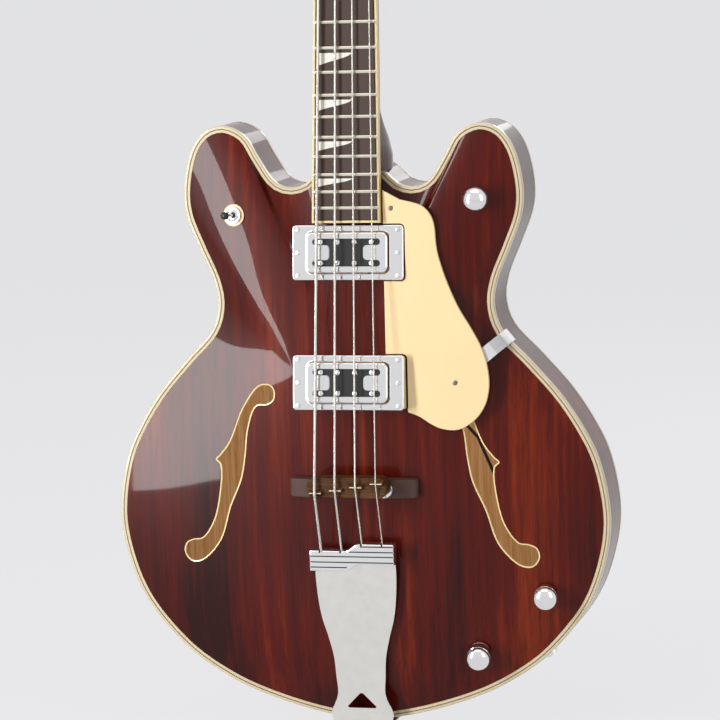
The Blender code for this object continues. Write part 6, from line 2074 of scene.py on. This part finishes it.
@dataclass
class StrapButtons:
    """The two waisted buttons that a strap hangs on."""

    radius: float = 0.007
    height: float = 0.012
    shank: Pair = (0.002, 0.012)

    def button(self, name: str, place: Matrix) -> None:
        """Makes one button with its countersunk screw.

        Args:
            name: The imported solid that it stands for.
            place: Its frame.
        """
        r, top = self.radius, self.height
        shank, length = self.shank
        profile = [
            (0, top - 0.0009), (0.003, top - 0.0009), (0.0036, top - 0.0003), (0.8 * r, top),
            (0.93 * r, top - 0.0003), (r, top - 0.0012), (r, top - 0.0024), (0.93 * r, top - 0.0032),
            (0.7 * r, top - 0.0046), (0.56 * r, top - 0.0062), (0.52 * r, 0.0044), (0.58 * r, 0.0026),
            (0.74 * r, 0.0013), (0.85 * r, 0.0006), (0.85 * r, 0), (shank, 0), (shank, -length), (0, -length),
        ]
        piece = Piece(f"{name}_turned", (CHROME, DARK_STEEL)).add(turned(profile, 48), place)
        for turn in (0.3, 0.3 + pi / 2):
            bar = block((-0.0022, -0.0004, top - 0.0011), (0.0022, 0.0004, top - 0.00085))
            piece.add(bar, place @ Matrix.Rotation(turn, 4, "Z"), 1)
        piece.done(name)

    def build(self, heel_cap: float, strap_z: float, sheet: float) -> None:
        """Makes the button on the heel and the one at the tail.

        Args:
            heel_cap: The z of the heel's cap.
            strap_z: The z of the tailpiece's sheet.
            sheet: How thick the sheet is.
        """
        z = (heel_cap + HALF_OUTLINE[0][1]) / 2
        self.button("heel_strap_button", BODY @ at(0, BODY_DEPTH + GAP, z) @ upright((0, 1, 0)))
        outside = strap_z - sheet / 2 - GAP
        self.button("tail_strap_button", BODY @ at(0, BODY_DEPTH / 2, outside) @ upright((0, 0, -1)))


@dataclass
class Tuner:
    """An open-geared tuner: plate and bushing, worm and key, wheel and post."""

    name: str
    x: float
    z: float
    head: float
    plate: Quad = (0.015, 0.013, 0.022, 0.002)
    ferrule: Pair = (0.009, 0.0022)
    post_radius: float = 0.005
    post_height: float = 0.02
    running_gap: float = 0.0004
    gear: Pair = (0.009, 0.005)
    worm: Pair = (0.0035, 0.006)
    lug: float = 0.003
    shaft_radius: float = 0.002
    key_reach: float = 0.056
    button_half: Pair = (0.0095, 0.013)
    button_thickness: float = 0.007
    teeth: int = 20

    @property
    def seat(self) -> Matrix:
        """The frame of its post, which lies on the headstock's face."""
        return HEAD @ at(self.x, 0, self.z) @ OUT_OF_FRONT

    def levels(self) -> Quad:
        """The plate's front and back, the worm's depth and its height over the post's axis."""
        front = -self.head - GAP
        back = front - self.plate[3]
        worm_depth = back - self.running_gap - self.worm[0]
        return front, back, worm_depth, self.gear[0] + self.worm[0] + self.running_gap

    def housing(self) -> None:
        """Makes the plate with its screws and lugs, and the bushing with its flange on the face."""
        half, below, above, _ = self.plate
        front, back, worm_depth, up = self.levels()
        around = rounded_rectangle(half, (above + below) / 2, 0.0035)
        outline = [(x, z + (above - below) / 2) for x, z in around]
        laid_flat = Matrix(((1, 0, 0, 0), (0, 0, 1, 0), (0, 1, 0, 0), (0, 0, 0, 1)))
        sheet = placed(prism(outline, 0.0, front - back, 0.0005, 2), at(0, 0, back) @ laid_flat)
        bore = self.post_radius + self.running_gap
        radius, height = self.ferrule
        top = GAP + height
        bushing = turned([
            (bore, top), (bore + 0.0009, top + 0.0004), (radius - 0.0026, top), (radius - 0.0006, top * 0.6),
            (radius, 0.0009), (radius, GAP), (bore + 0.0014, GAP), (bore + 0.0014, front - 0.0002),
            (bore, front - 0.0002), (bore, top),
        ], 48)
        piece = Piece(f"{self.name}_plate", (CHROME, STEEL)).add(sheet, self.seat).add(bushing, self.seat)
        inner = self.worm[1] + self.running_gap
        for sign in (-1, 1):
            low, high = sorted((sign * inner, sign * (inner + self.lug)))
            lug = block((low, up - 0.004, worm_depth - 0.0035), (high, up + 0.004, back + 0.0004), 0.0008)
            hole = rod(self.shaft_radius + 0.0003, (-0.03, up, worm_depth), (0.03, up, worm_depth), 20)
            piece.add(cut(lug, hole), self.seat)
        for x in (-half + 0.0032, half - 0.0032):
            for y in (-below + 0.0032, above - 0.0032):
                spot = at(x, y, back) @ OUT_OF_BACK
                piece.add(slotted_screw(0.002, 0.0009, spot, 50 * x + 30 * y), self.seat, 1)
        piece.done(f"tuner_{self.name}_housing")

    def toothed(self) -> Shape:
        """The wheel, with a tooth for each step of the worm.

        Returns:
            The shape.
        """
        radius, thick = self.gear
        tooth, side = (radius, radius, radius * 0.86, radius * 0.86), (radius * 0.8,)
        return loft([round_ring(radii, self.teeth * len(tooth), height) for radii, height in (
            (side, 0.0), (tooth, 0.0006), (tooth, thick - 0.0006), (side, thick),
        )])

    def post(self) -> None:
        """Makes the post with its slot, and the wheel on its back end with a screw."""
        _, _, worm_depth, _ = self.levels()
        top, radius = self.post_height, self.post_radius
        gear_front = worm_depth + self.gear[1] / 2
        gear_back = gear_front - self.gear[1]
        shape = turned([
            (0, top), (radius - 0.0012, top), (radius - 0.0003, top - 0.0004), (radius, top - 0.0012),
            (radius, gear_front - 0.0005), (0, gear_front - 0.0005),
        ], 48)
        slot = block((-0.0013, -0.01, top - 0.0055), (0.0013, 0.01, top + 0.01))
        well = rod(0.0022, (0, 0, top - 0.009), (0, 0, top + 0.01), 24)
        piece = Piece(f"{self.name}_post_and_wheel", (CHROME, BRASS, STEEL), f"tuner_{self.name}_post")
        piece.add(cut(shape, slot, well), self.seat)
        piece.add(placed(self.toothed(), at(0, 0, gear_back)), self.seat, 1)
        piece.add(slotted_screw(0.0032, 0.0013, at(0, 0, gear_back) @ OUT_OF_BACK), self.seat, 2)
        piece.done(f"tuner_{self.name}_post")

    def key(self) -> None:
        """Makes the key's shaft with its worm, and the oval button with its collar."""
        _, _, worm_depth, up = self.levels()
        place = self.seat @ at(0, up, worm_depth) @ upright((copysign(1, self.x), 0, 0))
        reach = self.key_reach - abs(self.x)
        radius, half = self.worm
        inner_end = -(half + self.running_gap + self.lug + 0.0016)
        worm = [(radius * (1.0 if step % 2 else 0.8), half - half * step / 6) for step in range(13)]
        r = self.shaft_radius
        shaft = [
            (0, reach + 0.002), (r * 1.6, reach + 0.002), (r * 1.9, reach), (r * 1.9, reach - 0.0025),
            (r * 1.4, reach - 0.0035), (r * 1.4, reach - 0.006), (r, reach - 0.0075), (r, half + 0.0002),
            *worm, (r, -half - 0.0002), (r, inner_end), (0, inner_end),
        ]
        piece = Piece(f"{self.name}_key_and_worm", (CHROME,), f"tuner_{self.name}_key")
        piece.add(turned(shaft, 32), place)
        long, high = self.button_half
        turns = [tau * i / 48 for i in range(48)]
        rings = []
        for step in range(17):
            angle = pi * (step / 16 - 0.5)
            share = 0.72 + 0.28 * cos(angle) ** 0.8 if abs(angle) < 1.5 else 0.72
            depth = self.button_thickness / 2 * sin(angle)
            rings.append([(high * share * sin(t), depth, long * share * cos(t)) for t in turns])
        piece.add(loft(rings), place @ at(0, 0, reach + long))
        piece.done(f"tuner_{self.name}_key", smooth=50)

    def build(self) -> None:
        """Makes the whole tuner."""
        self.housing()
        self.post()
        self.key()


@dataclass
class Studio:
    """The camera at the photograph's place, a pale floor in a pale room, and the lamps."""

    aim: Triple = (0.0032, -0.04445, -0.7126)
    distance: float = 2.8655
    azimuth: float = radians(14.272)
    elevation: float = radians(7.851)
    roll: float = radians(-1.7806)
    lens: float = 168.8
    sensor: float = 36.0
    backdrop: tuple[int, int, int] = (236, 236, 238)
    grain: tuple[int, int, int] = (228, 228, 230)
    fill: float = 0.2
    floor_glow: float = 0.88
    floor_half: float = 30.0
    floor_below: float = 0.004

    def camera(self) -> None:
        """Puts the camera where the photograph was taken from."""
        a, e = self.azimuth, self.elevation
        right = Vector((cos(a), sin(a), 0))
        ahead = Vector((-sin(a) * cos(e), cos(a) * cos(e), -sin(e)))
        up = right.cross(ahead)
        turned_right = right * cos(self.roll) + up * sin(self.roll)
        turned_up = up * cos(self.roll) - right * sin(self.roll)
        data = bpy.data.cameras.new("camera")
        data.lens, data.sensor_width = self.lens, self.sensor
        data.clip_start, data.clip_end = 0.05, 50.0
        camera = bpy.data.objects.new("camera", data)
        rotation = Matrix((turned_right, turned_up, -ahead)).transposed().to_4x4()
        camera.matrix_world = at(*Vector(self.aim) - ahead * self.distance) @ rotation
        bpy.context.scene.collection.objects.link(camera)
        bpy.context.scene.camera = camera

    def lamp(self, name: str, place: Point, target: Point, size: Pair, power: float) -> None:
        """Hangs a soft, flat lamp.

        Args:
            name: The lamp's name.
            place: Where it hangs.
            target: What it faces.
            size: Its width and height.
            power: Its power in watts.
        """
        data = bpy.data.lights.new(name, "AREA")
        data.shape, data.energy = "RECTANGLE", power
        data.size, data.size_y = size
        lamp = bpy.data.objects.new(name, data)
        facing = (Vector(target) - Vector(place)).to_track_quat("-Z", "Y").to_matrix().to_4x4()
        lamp.matrix_world = at(*place) @ facing
        bpy.context.scene.collection.objects.link(lamp)

    def floor(self) -> None:
        """Lays the pale floor under the instrument, which keeps its tone to the eye and in gloss."""
        nodes = Nodes(bpy.data.materials.new("pale_floor"))
        grain = nodes.noise(EVEN, 3.0, 2.0)
        nodes.done(Base_Color=nodes.mix(grain, colour(self.backdrop), colour(self.grain)), Roughness=0.9)
        glow = nodes.add("ShaderNodeEmission", {}, {"Color": colour(self.backdrop)})
        seen = nodes.ray("Camera", "Glossy") * self.floor_glow
        lit = Link(nodes, nodes.shader.outputs[0])
        blend = nodes.add("ShaderNodeMixShader", {}, {0: seen, 1: lit, 2: glow})
        nodes.feed(nodes.tree.nodes["Material Output"].inputs["Surface"], blend)
        shape = bmesh.new()
        bmesh.ops.create_grid(shape, x_segments=2, y_segments=2, size=self.floor_half)
        bmesh.ops.translate(shape, verts=shape.verts, vec=(0, 0, CAD_BOX[0].z - self.floor_below))
        obj = as_object(shape, "pale_floor")
        obj.data.materials.append(nodes.owner)

    def surroundings(self) -> None:
        """Makes the world pale to the eye and in gloss, and a weak, even light elsewhere."""
        nodes = Nodes(bpy.data.worlds.new("soft_room"), "Background")
        seen = nodes.ray("Camera", "Glossy", "Transmission")
        strength = nodes.add("ShaderNodeMapRange", {}, {"Value": seen, "To Min": self.fill, "To Max": 1.0})
        bpy.context.scene.world = nodes.done(Color=colour(self.backdrop), Strength=strength)
        bpy.context.scene.view_settings.view_transform = "Standard"

    def lights(self) -> None:
        """Hangs the lamps: a tall one on the bass side, a broad one above, and weak fills."""
        middle = (0.0, -0.05, -0.72)
        self.lamp("tall_side_lamp", (-1.08, -1.48, -0.74), middle, (0.36, 2.3), 52.0)
        self.lamp("treble_lamp", (1.75, -1.35, -0.1), middle, (0.9, 1.4), 9.0)
        self.lamp("overhead_lamp", (0.1, -0.9, 1.25), middle, (1.8, 1.2), 9.0)
        self.lamp("back_lamp", (0.6, 1.6, 0.6), middle, (1.6, 1.6), 16.0)

    def build(self) -> None:
        """Sets up the whole studio."""
        self.camera()
        self.floor()
        self.surroundings()
        self.lights()


def dress_insides() -> None:
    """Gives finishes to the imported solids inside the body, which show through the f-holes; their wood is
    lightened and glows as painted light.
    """
    dress(INSIDE_WOOD_WITH_PAINTED_LIGHT, "neck_block", "tail_block", "bass_tone_bar", "treble_tone_bar")
    dress(BLUE_SHEATH, "wiring_harness")


def main() -> None:
    """Builds the studio and the instrument, one sub-assembly after another."""
    logging.basicConfig(level=logging.INFO, format="%(name)s: %(message)s")
    strings, neck, tail = StringSet(), Neck(), Tailpiece()
    pickups = (Pickup("neck", -0.0378, -0.01864), Pickup("bridge", -0.1465, -0.0313))
    Studio().build()
    BodyShell().build(pickups)
    neck.build(strings)
    Fingerboard().build()
    strings.build()
    for pickup in pickups:
        pickup.build()
    Bridge().build(strings)
    tail.build(strings)
    Pickguard().build(pickups)
    Controls().build()
    StrapButtons().build(neck.heel_cap, tail.strap_z(), tail.sheet)
    for name, (x, z) in zip(strings.names, strings.posts):
        Tuner(name, x, z, neck.head_thickness).build()
    dress_insides()


if __name__ == "__main__":
    main()
